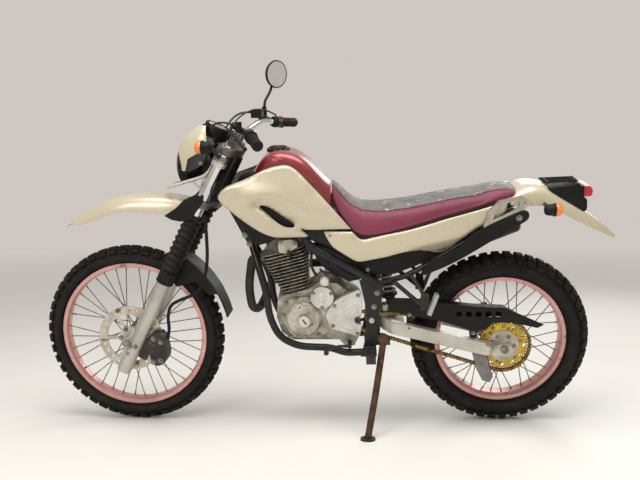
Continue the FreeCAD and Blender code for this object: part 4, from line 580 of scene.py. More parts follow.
guide_nylon = finish(
    "guide_nylon", [(104, 102, 98), (134, 131, 126)], patch=30, rough=(0.5, 0.7), grain=700, bump=0.2,
    marks=[((78, 70, 60), 30, 0.14)])
plate(
    "chain_guide", "frame", guide_nylon,
    [(1248, 313), (1300, 301), (1326, 213), (1317, 191), (1289, 197), (1262, 250)], -99, -105.2, 3)
sixths = [math.pi / 3 * number for number in range(6)]
bolts(
    "sprocket_bolts", "rear_wheel", ring_of(WHEELBASE, -91, REAR_Z, 66, [turn + 0.25 for turn in sixths]),
    8)

# Wheels
# Spoked wheels of 21 and 18 inches: rims with a faded pink anodised face, stainless spokes with
# brass nipples, cast hubs, drilled brake discs, and block tyres for road and trail.
tyre_rubber = finish(
    "tyre_rubber", [(22, 20, 19), (33, 30, 28)], patch=12, rough=(0.55, 0.8), grain=900, bump=0.3,
    marks=[((56, 49, 42), 20, 0.12)], dust=((70, 62, 54), 0.15), gloss=0.25)


def block_tyre(name, body, centre, outer_r, half, rim_r, rim_half, replaced):
    """A block tyre: a carcass with pulled-in walls, and blocks in rows that alternate round it."""
    LUG_COUNT, DEPTH = 48, 9.0
    mid = outer_r - half
    rest = half - DEPTH
    edge_y = rim_half - 4
    wall_y, wall_r = half * 0.975, mid - 0.12 * half
    section = [
        (rest * math.sin(math.radians(a)), mid + rest * math.cos(math.radians(a)))
        for a in (0, 14, 28, 42, 56, 66)]
    section += [
        ((half - 3) * math.sin(math.radians(80)), mid + (half - 3) * math.cos(math.radians(80))),
        (wall_y, wall_r), (edge_y + 0.72 * (wall_y - edge_y), rim_r + 0.45 * (wall_r - rim_r)),
        (edge_y + 5, rim_r + 5), (edge_y + 1.5, rim_r + 4), (edge_y, rim_r), (edge_y - 1, rim_r - 5)]
    section = [(-y, r) for y, r in reversed(section[1:])] + section
    points, faces = [], []
    rings = 3 * LUG_COUNT

    def place(y, r, turn):
        angle = 2 * math.pi * turn / LUG_COUNT
        return centre + Vector((-math.sin(angle) * r, y, -math.cos(angle) * r))

    size = len(section)
    for ring in range(rings):
        points += [place(y, r, ring / 3) for y, r in section]
        for number in range(size - 1):
            low, high = ring * size, (ring + 1) % rings * size
            faces.append([low + number, low + number + 1, high + number + 1, high + number])

    def block(start, end, first, last, skew):
        """One block between two angles across the tread and two places round it."""
        corner = []
        for depth, inset in ((DEPTH + 2.0, -0.9), (1.0, 0.0), (0.0, 1.1)):
            radius = half - depth
            span = math.degrees(inset / half)
            length = inset / (2 * math.pi * outer_r / LUG_COUNT)
            a0, a1, t0, t1 = start + span, end - span, first + length, last - length
            am, tm = (a0 + a1) / 2, (t0 + t1) / 2
            grid = [
                (a0, t0), (am, t0), (a1, t0), (a1, tm), (a1, t1), (am, t1), (a0, t1), (a0, tm), (am, tm)]
            for a, t in grid:
                y, r = radius * math.sin(math.radians(a)), mid + radius * math.cos(math.radians(a))
                corner.append(place(y, r, t + skew * abs(a) / 60))
        base = len(points)
        points.extend(corner)
        for level in (0, 9):
            for number in range(8):
                after = (number + 1) % 8
                low, high = base + level, base + level + 9
                faces.append([low + number, low + after, high + after, high + number])
        for quad in ((0, 1, 8, 7), (1, 2, 3, 8), (8, 3, 4, 5), (7, 8, 5, 6)):
            faces.append([base + 18 + number for number in quad])

    pairs = ((12, 31, 0.04, 0.70), (35, 58, 0.06, 0.74))
    triples = ((2.2, 20, 0.04, 0.70), (24, 40, 0.06, 0.72), (44, 61, 0.06, 0.74))
    for number in range(LUG_COUNT):
        for mirror in (-1, 1):
            for near, far, first, last in triples if number % 2 else pairs:
                low, high = sorted((mirror * near, mirror * far))
                block(low, high, number + first, number + last, 0.12)
        if not number % 2:
            block(-8.5, 8.5, number + 0.02, number + 0.66, 0)
    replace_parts(loose(name, body, tyre_rubber, points, faces, 32), replaced)


FRONT = Vector((0, 0, FRONT_Z))
block_tyre("front_block_tyre", "front_wheel", FRONT, 340, 41, 276, 25, "front_tyre")
block_tyre("rear_block_tyre", "rear_wheel", DRIVEN, 328, 61, 241, 36, "rear_tyre")
rim_pink = finish(
    "rim_anodised", [(196, 142, 136), (214, 164, 158)], patch=9, rough=(0.28, 0.45), metal=0.6, coat=0.2,
    grain=900, bump=0.05, marks=[((134, 88, 84), 26, 0.14)], worn=((206, 190, 184), 0.002))
dress(rim_pink, "front_rim", "rear_rim")
# The stainless spokes are painted far darker than their steel: painted shade, as thin spokes look shaded.
# The brown marks are rust.
spoke_steel_painted_shade = finish(
    "spoke_steel_painted_shade", [(86, 82, 78), (126, 120, 114)], patch=70, rough=(0.25, 0.5), metal=0.9,
    marks=[((96, 70, 50), 50, 0.14)], bump=0.0)
dress(spoke_steel_painted_shade, "front_spokes", "rear_spokes")
disc_steel = finish(
    "disc_steel", [(168, 160, 142), (198, 192, 176)], patch=26, rough=(0.25, 0.5), metal=0.85, grain=900,
    bump=0.05, marks=[((118, 88, 60), 18, 0.16)])
dress(disc_steel, "front_disc", "rear_disc")
hub_alloy = finish(
    "hub_alloy", [(164, 158, 142), (196, 190, 174)], patch=30, rough=(0.4, 0.6), metal=0.5, bump=0.2,
    marks=[((104, 84, 62), 40, 0.12)])
dress(hub_alloy, "front_hub", "rear_hub")
SPOKES = 36
brass = finish(
    "nipple_brass", [(150, 132, 96), (176, 160, 124)], patch=80, rough=(0.3, 0.55), metal=0.8,
    marks=[((80, 66, 48), 70, 0.2)], bump=0.05)


def nipples(name, body, centre, rim_in, flange_r, flange_y):
    """The brass nipples that draw the spokes to the rim, one to a spoke."""
    rows = []
    for number in range(SPOKES):
        side = -1 if number % 2 else 1
        lead = 1 if number % 4 < 2 else -1
        at_rim = math.radians(360 / SPOKES * (number + 0.5))
        at_hub = at_rim + math.radians(lead * 55)
        outer = centre + Vector((math.sin(at_rim) * rim_in, side * 5, math.cos(at_rim) * rim_in))
        inner = centre + Vector(
            (math.sin(at_hub) * (flange_r - 4), side * (flange_y + lead * 6.4),
             math.cos(at_hub) * (flange_r - 4)))
        along = (inner - outer).normalized()
        rows.append((outer - along * 1, outer + along * 15, 3.4, 6, 2.7))
    bars(name, body, brass, rows)


nipples("front_nipples", "front_wheel", FRONT, 256, 34, 32)
nipples("rear_nipples", "rear_wheel", DRIVEN, 221, 62, 34)
bolts("front_disc_bolts", "front_wheel", ring_of(0, -62, FRONT_Z, 38, sixths), 11)
bolts("rear_disc_bolts", "rear_wheel", ring_of(WHEELBASE, 60, REAR_Z, 38, sixths), 11, (0, 1, 0))

# Fork
# Chromed tubes in alloy sliders under silver paint, with pleated rubber boots, held by two cast
# clamps. The paint is worn at the edges, and road grit has marked the chrome.
slider_paint = finish(
    "slider_silver", [(166, 163, 153), (190, 187, 178)], patch=10, rough=(0.25, 0.42), metal=0.6, coat=0.2,
    grain=900, bump=0.05, marks=[((120, 112, 98), 26, 0.12)], worn=((140, 130, 112), 0.002))
dress(slider_paint, "fork_sliders")
chrome = finish(
    "chrome", [(196, 196, 196), (214, 214, 213)], patch=20, rough=(0.08, 0.22), metal=1.0, bump=0.0,
    marks=[((120, 96, 74), 70, 0.08)])
dress(chrome, "fork_tubes", "handlebar")
boot_rubber = finish(
    "boot_rubber", [(20, 20, 21), (32, 31, 31)], patch=30, rough=(0.5, 0.75), grain=1200, bump=0.3,
    marks=[((54, 50, 45), 30, 0.10)], dust=((92, 84, 74), 0.25), gloss=0.25)
dress(boot_rubber, "fork_boots", "grips", "brake_hose")
clamp_alloy = finish(
    "clamp_alloy", [(84, 82, 79), (120, 117, 112)], patch=24, rough=(0.35, 0.6), metal=0.7, bump=0.2,
    marks=[((80, 70, 58), 60, 0.16)], worn=((178, 174, 166), 0.002))
dress(clamp_alloy, "fork_clamps")
guard_chrome = finish(
    "guard_chrome", [(196, 194, 186), (212, 210, 203)], patch=30, rough=(0.25, 0.4), metal=0.5,
    marks=[((128, 104, 82), 50, 0.12)], bump=0.0)
dress(guard_chrome, "headlight_guard")
bolts("slider_bolts", "steering", [(12, -121, 330), (34, -121, 330)], 10)

# Bars and controls
# A chromed steel bar with waffle grips, switch boxes, levers and the brake's reservoir. Cables of
# black plastic sleeve go forward from both levers and down behind the cowl.
dress(black_plastic, "hand_controls")
CASTER = math.radians(26.67)
UP_FORK = Vector((math.sin(CASTER), 0, math.cos(CASTER)))
AHEAD_FORK = Vector((-math.cos(CASTER), 0, math.sin(CASTER)))


def bar_line(side, inward):
    """A place on the outer run of the bar, so far in from its end, and the run's direction."""
    foot = Vector((-105, 0, 0)) + UP_FORK * 1203 + AHEAD_FORK * 22
    inner, outer = foot + Vector((76, side * 212, 31)), foot + Vector((142, side * 402, 11))
    run = (outer - inner).normalized()
    return outer - run * inward, run


GRIP_RIBS, RIB_STEP = 17, 6
rows = []
for side in (-1, 1):
    for number in range(GRIP_RIBS):
        start, run = bar_line(side, 10 + number * RIB_STEP)
        rows.append((start, start + run * 2.6, 17.6, 20))
    start, run = bar_line(side, 0)
    rows.append((start - run * 1, start + run * 3, 18.2, 24, 14))
bars("grip_ribs", "steering", boot_rubber, rows)
cable_sleeve = finish(
    "cable_sleeve", [(26, 26, 27), (38, 38, 38)], patch=40, rough=(0.35, 0.5), bump=0.05,
    dust=((110, 100, 88), 0.3))
left_perch, right_perch = bar_line(-1, 170)[0], bar_line(1, 170)[0]


def cable(name, route, diameter):
    """A sleeved cable, held at a lever and behind the lamp."""
    made = hose(name, "steering", cable_sleeve, route, diameter / 2)


cable(
    "clutch_cable", [left_perch + Vector(step) for step in ((-48, 22, 28), (-96, 44, 42), (-150, 84, 20))]
    + [(352, -98, 1098), (344, -60, 1048), (340, -40, 1006)], 7)
cable(
    "front_brake_hose",
    [right_perch + Vector(step) for step in ((-72, -62, 40), (-110, -70, 44), (-150, -96, 10))]
    + [(352, 62, 1090), (346, 48, 1040), (342, 36, 1006)], 8)
cable(
    "throttle_cable",
    [right_perch + Vector(step) for step in ((14, -8, 24), (-30, -40, 58), (-100, -96, 40))]
    + [(362, 84, 1096), (350, 66, 1050), (344, 54, 1006)], 6)
switch_red = finish("switch_red", [(176, 30, 34), (200, 46, 48)], patch=60, rough=(0.4, 0.5))
switch_green = finish("switch_pale", [(190, 190, 186), (206, 206, 202)], patch=60, rough=(0.4, 0.5))
for name, side, material in (("stop_switch", 1, switch_red), ("dip_switch", -1, switch_green)):
    start = bar_line(side, 136)[0]
    bars(
        name, "steering", material,
        [(start + Vector((13, 0, 13)), start + Vector((20, 0, 19)), 6, 4, 5)])

# Mirror
# One round mirror of two, on the right, in a black plastic shell on a bent stem. Its silvered
# glass is slightly domed, and faces back and inwards.
dress(black_plastic, "mirror")
glass = bpy.data.materials.new("mirror_glass")
glass.use_nodes = True
nodes, links = glass.node_tree.nodes, glass.node_tree.links
shader = nodes["Principled BSDF"]
shader.inputs["Metallic"].default_value = 1.0
haze = nodes.new("ShaderNodeTexNoise")
haze.inputs["Scale"].default_value = 40
haze.inputs["Detail"].default_value = 6
links.new(nodes.new("ShaderNodeTexCoord").outputs["Object"], haze.inputs["Vector"])
tint = nodes.new("ShaderNodeValToRGB")
tint.color_ramp.elements[0].color = rgb(214, 216, 214)
tint.color_ramp.elements[1].color = rgb(228, 229, 226)
links.new(haze.outputs["Fac"], tint.inputs["Fac"])
links.new(tint.outputs["Color"], shader.inputs["Base Color"])
blur = nodes.new("ShaderNodeMapRange")
blur.inputs["To Min"].default_value = 0.03
blur.inputs["To Max"].default_value = 0.16
links.new(haze.outputs["Fac"], blur.inputs["Value"])
links.new(blur.outputs["Result"], shader.inputs["Roughness"])
facing = Vector((math.cos(math.radians(-38)), math.sin(math.radians(-38)), 0))
MIRROR_HEAD = Vector((503, 300, 1288))
lathe(
    "mirror_glass", "steering", glass,
    [(8.6, 48.5), (10.2, 48), (11.4, 34), (12.2, 18), (12.5, 0.1)], MIRROR_HEAD, facing, 64, 60)
lathe(
    "mirror_rim", "steering", black_plastic,
    [(6, 52.6), (10.6, 52), (11.6, 50.4), (11, 48.6), (8, 48.4)], MIRROR_HEAD, facing, 64, 60)

# Lamp, cowl and instruments
# A round lamp in a black bowl behind a cream nose that is bolted to the clamps, with a chromed
# loop that guards it, one round meter behind it, and rubber-stalked turn signals on the tubes.
CREAM = [(194, 182, 154), (202, 191, 164), (198, 186, 159)]
cream_plastic = finish(
    "cream_plastic", CREAM, patch=3, rough=(0.24, 0.32), metal=0.2, coat=0.5, grain=1500, bump=0.02,
    marks=[((150, 134, 108), 70, 0.02)], worn=((170, 156, 126), 0.0015), dust=((206, 196, 172), 0.15))
dress(cream_plastic, "front_fender", "tank_shrouds", "side_panels", "rear_fender")
to_cowl = frame["nodes"]["headlight_cowl"].matrix_world.inverted() @ steered
planes = []
for x, z, run in ((266, 1021, Vector((28, 0, 15))), (243, 982, Vector((10, 0, 36)))):
    below = run.cross(Vector((0, -1, 0)))
    planes.append((to_cowl @ Vector((x, 0, z)), (to_cowl.to_3x3() @ below).normalized()))
cowl_plastic = finish(
    "cowl_cream_and_black", CREAM, patch=3, rough=(0.24, 0.32), metal=0.1, coat=0.4, grain=1500, bump=0.02,
    marks=[((150, 134, 108), 70, 0.02)], parted=((17, 17, 18), planes))
dress(cowl_plastic, "headlight_cowl")
dress(black_plastic, "headlight")
lens_glass = finish(
    "lens_glass", [(150, 153, 156), (182, 184, 186)], patch=18, rough=(0.14, 0.26), metal=0.5, coat=0.6,
    grain=120, bump=0.4)
LAMP = Vector((208, 0, 985))
lathe(
    "headlight_glass", "steering", lens_glass,
    [(7, 63.4), (0, 62.6), (-6, 54), (-11, 40), (-14.4, 22), (-15.4, 0.1)], LAMP, (1, 0, 0), 72, 60)
lathe(
    "headlight_rim", "steering", black_plastic,
    [(12, 66.5), (4, 67.5), (0, 65.5), (0.5, 62.2), (4, 61.5)], LAMP, (1, 0, 0), 72, 60)
bolts_both("cowl_screws", "steering", [(300, -94.5, 1062), (300, -96.5, 1000)], 9)
dial_glass = finish(
    "dial_glass", [(28, 30, 33), (36, 38, 41)], patch=30, rough=(0.05, 0.15), coat=1.0, bump=0.0)
DIAL, DIAL_UP = Vector((326, 0, 1082)), Vector((0.42, 0, 0.91)).normalized()
lathe(
    "dial_rim", "steering", black_plastic,
    [(30, 44.8), (41, 44.8), (44, 43), (44.4, 39.5), (41.5, 38.6)], DIAL, DIAL_UP, 64, 50)
lathe(
    "dial_window", "steering", dial_glass, [(41.2, 39), (41.9, 26), (42.2, 0.1)], DIAL,
    DIAL_UP, 64, 60)
mark_white = finish("dial_marks", [(214, 214, 208), (226, 226, 220)], patch=90, rough=(0.4, 0.6))
DIAL_STEPS, DIAL_SWEEP = 24, 250
rows = []
dial_side = DIAL_UP.cross(Vector((0, 1, 0))).normalized()
for number in range(DIAL_STEPS + 1):
    angle = math.radians(-DIAL_SWEEP / 2 + number * DIAL_SWEEP / DIAL_STEPS)
    out = dial_side * math.cos(angle) + Vector((0, 1, 0)) * math.sin(angle)
    reach = 27 if number % 4 else 24
    rows.append((DIAL + DIAL_UP * 42.1 + out * reach, DIAL + DIAL_UP * 41.9 + out * 33, 0.7, 4))
bars("dial_marks", "steering", mark_white, rows)
orange_lens = finish(
    "orange_lens", [(232, 112, 26), (246, 134, 40)], patch=30, rough=(0.12, 0.3), coat=0.9, grain=300,
    bump=0.15, marks=[((190, 84, 20), 40, 0.12)])
SIGNAL_OUT = 190


def signal(name, body, middle, away, stalk):
    """A round turn signal: domed orange lens, black bowl with its lip, rubber stalk."""
    along = Vector((away, 0, 0))
    lens = lathe(
        name + "_lens", body, orange_lens,
        [(0, 22), (3, 22.4), (16, 21.6), (21, 18), (23.4, 10), (24, 0.1)], middle, along, 40, 50)
    lathe(
        name + "_bowl", body, black_plastic,
        [(1, 22.6), (0, 23), (-6, 22.8), (-8, 20.4), (-28, 18.6), (-34, 15), (-37, 8), (-37.4, 0.1)],
        middle, along, 40, 40)
    bars(
        name + "_stalk", body, soft_rubber,
        [(*ends, 7.4, 16, 6.6) for ends in zip(stalk, stalk[1:])])
    return lens


front_lenses, rear_lenses = [], []
for side, word in SIDES:
    front_lenses.append(
        signal("front_signal_" + word, "steering", Vector((329, side * SIGNAL_OUT, 1066)), -1,
         [(350, side * 184, 1064), (360, side * 150, 1052), (371, side * 116, 1020)]))
    ring = Vector((-105, side * 95, 0)) + UP_FORK * 1116 + AHEAD_FORK * 29
    lathe(
        "signal_ring_" + word, "steering", zinc, [(0, 20.6), (0, 27), (16, 27), (16, 20.6)],
        ring, UP_FORK)
    rear_lenses.append(
        signal("rear_signal_" + word, "frame", Vector((1504, side * 150, 846)), 1,
         [(1482, side * 146, 850), (1482, side * 118, 851), (1482, side * 72, 852)]))
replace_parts(front_lenses[0], "front_signals")
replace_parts(rear_lenses[0], "rear_signals")

# Tank, shrouds and side panels
# A pressed steel tank in metallic red lacquer, dulled by years outside. Beside it, thin moulded
# panels in a warm champagne colour: a shroud with its air slot and a panel under the seat.
tank_red = finish(
    "tank_red", [(122, 38, 42), (146, 54, 58)], patch=6, rough=(0.22, 0.36), metal=0.45, coat=0.7,
    grain=1800, bump=0.04, marks=[((96, 30, 36), 18, 0.10), ((176, 96, 98), 70, 0.05)],
    dust=((170, 132, 124), 0.25))
dress(tank_red, "fuel_tank")


def smooth_line(corners, step=9.0):
    """A closed outline through places in a plane; a place with a third value keeps a sharp corner."""
    line = []
    size = len(corners)
    for number in range(size):
        before, start, end, after = (corners[(number + k) % size] for k in (-1, 0, 1, 2))
        p0, p1, p2, p3 = (Vector(c[:2]) for c in (before, start, end, after))
        lead = (p2 - p1) if len(start) > 2 else (p2 - p0) / 2
        tail = (p2 - p1) if len(end) > 2 else (p3 - p1) / 2
        gap = (p2 - p1).length
        if lead.length > gap:
            lead = lead * (gap / lead.length)
        if tail.length > gap:
            tail = tail * (gap / tail.length)
        count = max(1, round(gap / step))
        for k in range(count):
            t = k / count
            h = (
                2 * t ** 3 - 3 * t ** 2 + 1, t ** 3 - 2 * t ** 2 + t, 3 * t ** 2 - 2 * t ** 3,
                t ** 3 - t ** 2)
            line.append(p1 * h[0] + lead * h[1] + p2 * h[2] + tail * h[3])
    return line


def inside(place, line):
    """Whether a place in the plane lies within a closed outline."""
    hit = False
    for a, b in zip(line, line[1:] + line[:1]):
        if (a.y > place.y) != (b.y > place.y):
            if place.x < a.x + (place.y - a.y) * (b.x - a.x) / (b.y - a.y):
                hit = not hit
    return hit


def to_line(place, line):
    """The distance of a place in the plane from a closed outline."""
    near = 1e9
    for a, b in zip(line, line[1:] + line[:1]):
        run = b - a
        share = 0.0 if run.length_squared == 0 else max(
            0.0, min(1.0, (place - a).dot(run) / run.length_squared))
        near = min(near, (a + run * share - place).length)
    return near


def across_at(sections, x, z):
    """How far out a panel stands, from sections (place along, then height and side of three places)."""
    row = max(
        1,
        min(len(sections) - 1, next((n for n, s in enumerate(sections) if s[0] >= x), len(sections) - 1)))
    sides = []
    for near in (sections[row - 1], sections[row]):
        heights, outs = near[1::2], near[2::2]
        level = max(min(heights[0], heights[2]), min(max(heights[0], heights[2]), z))
        out = 0.0
        for i in range(3):
            part = outs[i]
            for j in range(3):
                if j != i:
                    part *= (level - heights[j]) / (heights[i] - heights[j])
            out += part
        sides.append(out)
    share = max(0.0, min(1.0, (x - sections[row - 1][0]) / (sections[row][0] - sections[row - 1][0])))
    share = share * share * (3 - 2 * share)
    return sides[0] * (1 - share) + sides[1] * share


SMOOTHINGS = 12


def panel(name, side, material, outline, sections, relief=None, holes=(), roll=9.0, thick=3.0,
          grid=11.0):
    """A moulded panel seen from its side: its outline, how far out it stands, its rolled edges."""
    outer = smooth_line(outline)
    loops = [outer] + [smooth_line(hole, 6.0) for hole in holes]
    flat, edges = [], []
    for line in loops:
        first = len(flat)
        flat += line
        edges += [(first + n, first + (n + 1) % len(line)) for n in range(len(line))]
    low = Vector((min(p.x for p in outer), min(p.y for p in outer)))
    high = Vector((max(p.x for p in outer), max(p.y for p in outer)))
    for row in range(int((high.y - low.y) / (grid * 0.87)) + 1):
        for column in range(int((high.x - low.x) / grid) + 1):
            place = low + Vector(((column + 0.5 * (row % 2)) * grid, row * grid * 0.87))
            if inside(place, outer) and all(to_line(place, line) > grid * 0.45 for line in loops):
                if not any(inside(place, line) for line in loops[1:]):
                    flat.append(place)
    for inset in (2.2, 5.0):
        for n, place in enumerate(outer):
            along = (outer[(n + 1) % len(outer)] - outer[n - 1]).normalized()
            for turn in (Vector((-along.y, along.x)), Vector((along.y, -along.x))):
                spot = place + turn * inset
                if inside(spot, outer) and to_line(spot, outer) > inset * 0.9:
                    flat.append(spot)
    found, _, triangles, *_ = delaunay_2d_cdt(flat, edges, [list(range(len(outer)))], 1, 0.01)
    triangles = [
        t for t in triangles
        if not any(inside(sum((found[i] for i in t), Vector((0, 0))) / 3, line) for line in loops[1:])]
    beside = [set() for _ in found]
    used = {}
    for corners in triangles:
        for n in range(3):
            pair = tuple(sorted((corners[n], corners[n - 1])))
            used[pair] = used.get(pair, 0) + 1
            beside[pair[0]].add(pair[1])
            beside[pair[1]].add(pair[0])
    rim = [set() for _ in found]
    for (first, second), times in used.items():
        if times == 1:
            rim[first].add(second)
            rim[second].add(first)
    outs = [across_at(sections, place.x, place.y) for place in found]
    for _ in range(SMOOTHINGS):
        outs = [
            0.4 * out + 0.6 * sum(outs[i] for i in (rim[n] or beside[n])) / len(rim[n] or beside[n])
            if beside[n] else out for n, out in enumerate(outs)]
    points = []
    for place, out in zip(found, outs):
        gap = min(roll, to_line(place, outer))
        out += 0.75 * (roll - math.sqrt(max(0.0, roll ** 2 - (roll - gap) ** 2)))
        if relief:
            out += relief(place)
        points.append(Vector((place.x, side * -out, place.y)))
    faces = [list(t) if side < 0 else list(reversed(t)) for t in triangles]
    made = loose(name, "frame", material, points, faces, 38)
    thicken = made.modifiers.new("wall", "SOLIDIFY")
    thicken.thickness = thick / 1000
    thicken.offset = -1
    thicken.use_even_offset = False
    return made


SHROUD_SECTIONS = [
    (356, 884, -134, 877, -136, 870, -134), (385, 929, -134, 890, -142, 852, -136),
    (447, 954, -128, 880, -152, 800, -136), (520, 984, -114, 880, -156, 754, -130),
    (590, 998, -106, 880, -156, 746, -126), (640, 968, -106, 866, -152, 748, -124),
    (700, 905, -110, 830, -144, 762, -124), (760, 834, -116, 806, -132, 774, -122),
    (810, 777, -120, 775, -121, 772, -120)]
SHROUD = [
    (354, 883), (361, 907), (385, 929), (447, 953), (504, 979), (542, 992), (585, 998), (612, 989),
    (640, 966), (690, 912), (747, 849), (813, 772, 0), (720, 772), (642, 774, 0), (666, 750, 0),
    (656, 745, 0), (600, 744), (551, 745), (523, 752), (485, 773), (447, 800), (400, 838)]
SLOT = [
    (497, 860), (509, 864), (532, 856), (561, 836), (585, 818), (609, 798), (617, 788), (608, 784),
    (585, 788), (561, 802), (528, 831), (506, 850)]
SLOT_START, SLOT_END = Vector((478, 868)), Vector((636, 782))


def scoop(place):
    """The hollow above the air slot: it sinks from a crease above it down to the slot's upper edge."""
    run = SLOT_END - SLOT_START
    along = (place - SLOT_START).dot(run) / run.length_squared
    above = (place - SLOT_START).dot(Vector((-run.y, run.x)).normalized())
    if along < -0.12 or along > 1.15:
        return 0.0
    reach = 62 * math.sin(math.pi * min(1.0, max(0.0, (along + 0.12) / 1.27)) ** 0.75)
    if above >= reach or reach <= 1:
        return 0.0
    sink = 24 * min(1.0, reach / 40)
    if above >= 0:
        return sink * (1 - above / reach)
    return sink * max(0.0, 1 + above / 20)


shrouds = [
    panel("shroud_" + word, side, cream_plastic, SHROUD, SHROUD_SECTIONS, scoop, [SLOT])
    for side, word in SIDES]
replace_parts(shrouds[0], "tank_shrouds")
duct_black = finish("duct_black", [(20, 20, 20), (30, 30, 30)], patch=30, rough=(0.6, 0.8), bump=0.2)
DUCT = [
    (398, 862), (424, 908), (484, 934), (560, 946), (620, 930), (680, 872), (744, 806), (744, 784),
    (650, 784), (560, 762), (500, 782), (440, 822)]
for side, word in SIDES:
    panel(
        "shroud_duct_" + word, side, duct_black, DUCT,
        [(x, 950, -96, 880, -116, 780, -112) for x in (356, 810)], roll=4)
SIDE_SECTIONS = [
    (722, 775, -118, 745, -124, 712, -122), (790, 776, -122, 722, -133, 672, -126),
    (850, 738, -126, 698, -136, 656, -128), (936, 750, -126, 712, -133, 672, -127),
    (1039, 776, -122, 736, -129, 690, -123), (1100, 794, -120, 744, -126, 682, -119),
    (1170, 814, -114, 766, -120, 707, -113), (1240, 830, -108, 800, -113, 764, -110),
    (1296, 842, -106, 820, -109, 792, -107), (1356, 866, -102, 846, -104, 826, -103)]
SIDE_PANEL = [
    (716, 766, 0), (780, 766), (815, 765, 0), (847, 738), (890, 744), (930, 753), (1000, 767), (1060, 783),
    (1130, 804), (1193, 821), (1250, 836), (1300, 850), (1356, 866, 0), (1344, 828), (1304, 800),
    (1264, 780), (1221, 752), (1192, 726), (1166, 697, 0), (1130, 676), (1079, 684), (1039, 691),
    (993, 688), (936, 673), (880, 662), (846, 656), (824, 660), (786, 683), (747, 710), (728, 738)]


def fold(place):
    """The crease low on the panel: under it, the sheet turns in towards the frame."""
    if place.x < 1000 or place.x > 1250:
        return 0.0
    crease = 706 + (place.x - 1000) * 0.19
    ends = min(1.0, (place.x - 1000) / 50) * min(1.0, (1250 - place.x) / 60)
    return max(0.0, crease - place.y) * 0.8 * ends


side_pair = [
    panel("side_panel_" + word, side, cream_plastic, SIDE_PANEL, SIDE_SECTIONS, fold)
    for side, word in SIDES]
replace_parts(side_pair[0], "side_panels")
bolts_both("panel_screws", "frame", [(870, -124, 628), (738, -121, 752)], 8)
dress(black_plastic, "fuel_cap")
CAP = Vector((556, 0, 1030))
cap = lathe(
    "tank_cap", "frame", black_plastic,
    [(0, 40.6), (7, 41), (9.5, 39.5), (10, 34), (13, 33), (16.5, 30.5), (17, 27), (15.4, 25.6),
     (15.2, 0.1)], CAP, (0, 0, 1), 64)
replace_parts(cap, "fuel_cap")
CAP_STUDS = 10
rows = []
for number in range(CAP_STUDS):
    angle = 2 * math.pi * number / CAP_STUDS
    out = Vector((math.cos(angle), math.sin(angle), 0))
    rows.append((CAP + out * 34 + Vector((0, 0, 9)), CAP + out * 34 + Vector((0, 0, 13)), 3.4, 8, 2.6))
rows.append((CAP + Vector((0, 0, 15)), CAP + Vector((0, 0, 17.6)), 9, 20))
bars("tank_cap_lock", "frame", zinc, rows)

# Tail
# The cream moulding behind the seat runs on as a flap over the wheel; the lamp's black housing is
# screwed on top of it, between cast handles, over black covers on the frame's rails.
TAIL = [
    (1384, 899, 878, 850, 94, 105), (1410, 915, 893, 849, 93, 103), (1440, 918, 898, 848, 89, 99),
    (1488, 914, 893, 846, 76, 88), (1498, 900, 888, 840, 75, 87), (1532, 876, 868, 825, 72, 84),
    (1564, 858, 851, 808, 68, 80), (1607, 834, 827, 786, 63, 75), (1647, 810, 803, 766, 58, 69),
    (1690, 781, 775, 744, 51, 61), (1720, 757, 752, 730, 43, 51), (1748, 729, 725, 717, 29, 35)]
FRONT_SLANT, TOP_SHARE = 0.55, 0.62
points, faces = [], []
ribs = 17
for x, crown, shoulder, low, half_shoulder, half_low in TAIL:
    for number in range(ribs):
        share = 2 * number / (ribs - 1) - 1
        bend = abs(share)
        if bend < TOP_SHARE:
            part = bend / TOP_SHARE
            y, z = half_shoulder * part, crown - (crown - shoulder) * (part ** 5)
        else:
            part = (bend - TOP_SHARE) / (1 - TOP_SHARE)
            y = half_shoulder + (half_low - half_shoulder) * part ** 0.8
            z = shoulder - (shoulder - low) * part
        back = FRONT_SLANT * (crown - z) if x == TAIL[0][0] else 0.0
        points.append(Vector((x - back, math.copysign(y, share), z)))
for row in range(len(TAIL) - 1):
    for number in range(ribs - 1):
        low, high = row * ribs + number, (row + 1) * ribs + number
        faces.append([low, low + 1, high + 1, high])
tail = loose("tail_moulding", "frame", cream_plastic, points, faces, 50)
rounder = tail.modifiers.new("subsurf", "SUBSURF")
rounder.levels = rounder.render_levels = 2
wall = tail.modifiers.new("solidify", "SOLIDIFY")
wall.thickness = 0.0032
wall.offset = 1
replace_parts(tail, "rear_fender")
housing = plate(
    "lamp_housing", "frame", black_plastic,
    [(1489, 894), (1504, 903), (1580, 913), (1606, 918), (1612, 908), (1624, 908), (1624, 868), (1636, 862),
     (1638, 830), (1634, 818), (1606, 824), (1564, 848), (1530, 868), (1489, 887)], 57, -57, 4)
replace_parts(housing, "tail_lamp")
red_lens = finish(
    "red_lens", [(176, 26, 30), (204, 40, 42)], patch=26, rough=(0.25, 0.4), coat=0.2, grain=240, bump=0.2,
    marks=[((120, 16, 22), 60, 0.10)])
plate(
    "tail_lens", "frame", red_lens,
    [(1622, 909), (1646, 907), (1656, 892), (1652, 871), (1622, 869)], 54, -54, 5)
rows = [((1484, y, 918), (1604, y * 0.9, 924), 3.2, 10) for y in (-38, -13, 13, 38)]
rows += [((x, -half, z), (x, half, z), 3.2, 10) for x, half, z in ((1500, 46, 918), (1592, 44, 922))]
bars("rack_strip", "frame", black_plastic, rows)
handle_alloy = finish(
    "handle_alloy", [(150, 144, 132), (190, 184, 170)], patch=16, rough=(0.2, 0.4), metal=0.8, coat=0.2,
    bump=0.04)
dress(handle_alloy, "grab_handles")
bolts_both("rail_bolts", "frame", [(1388, -132, 814)], 13)

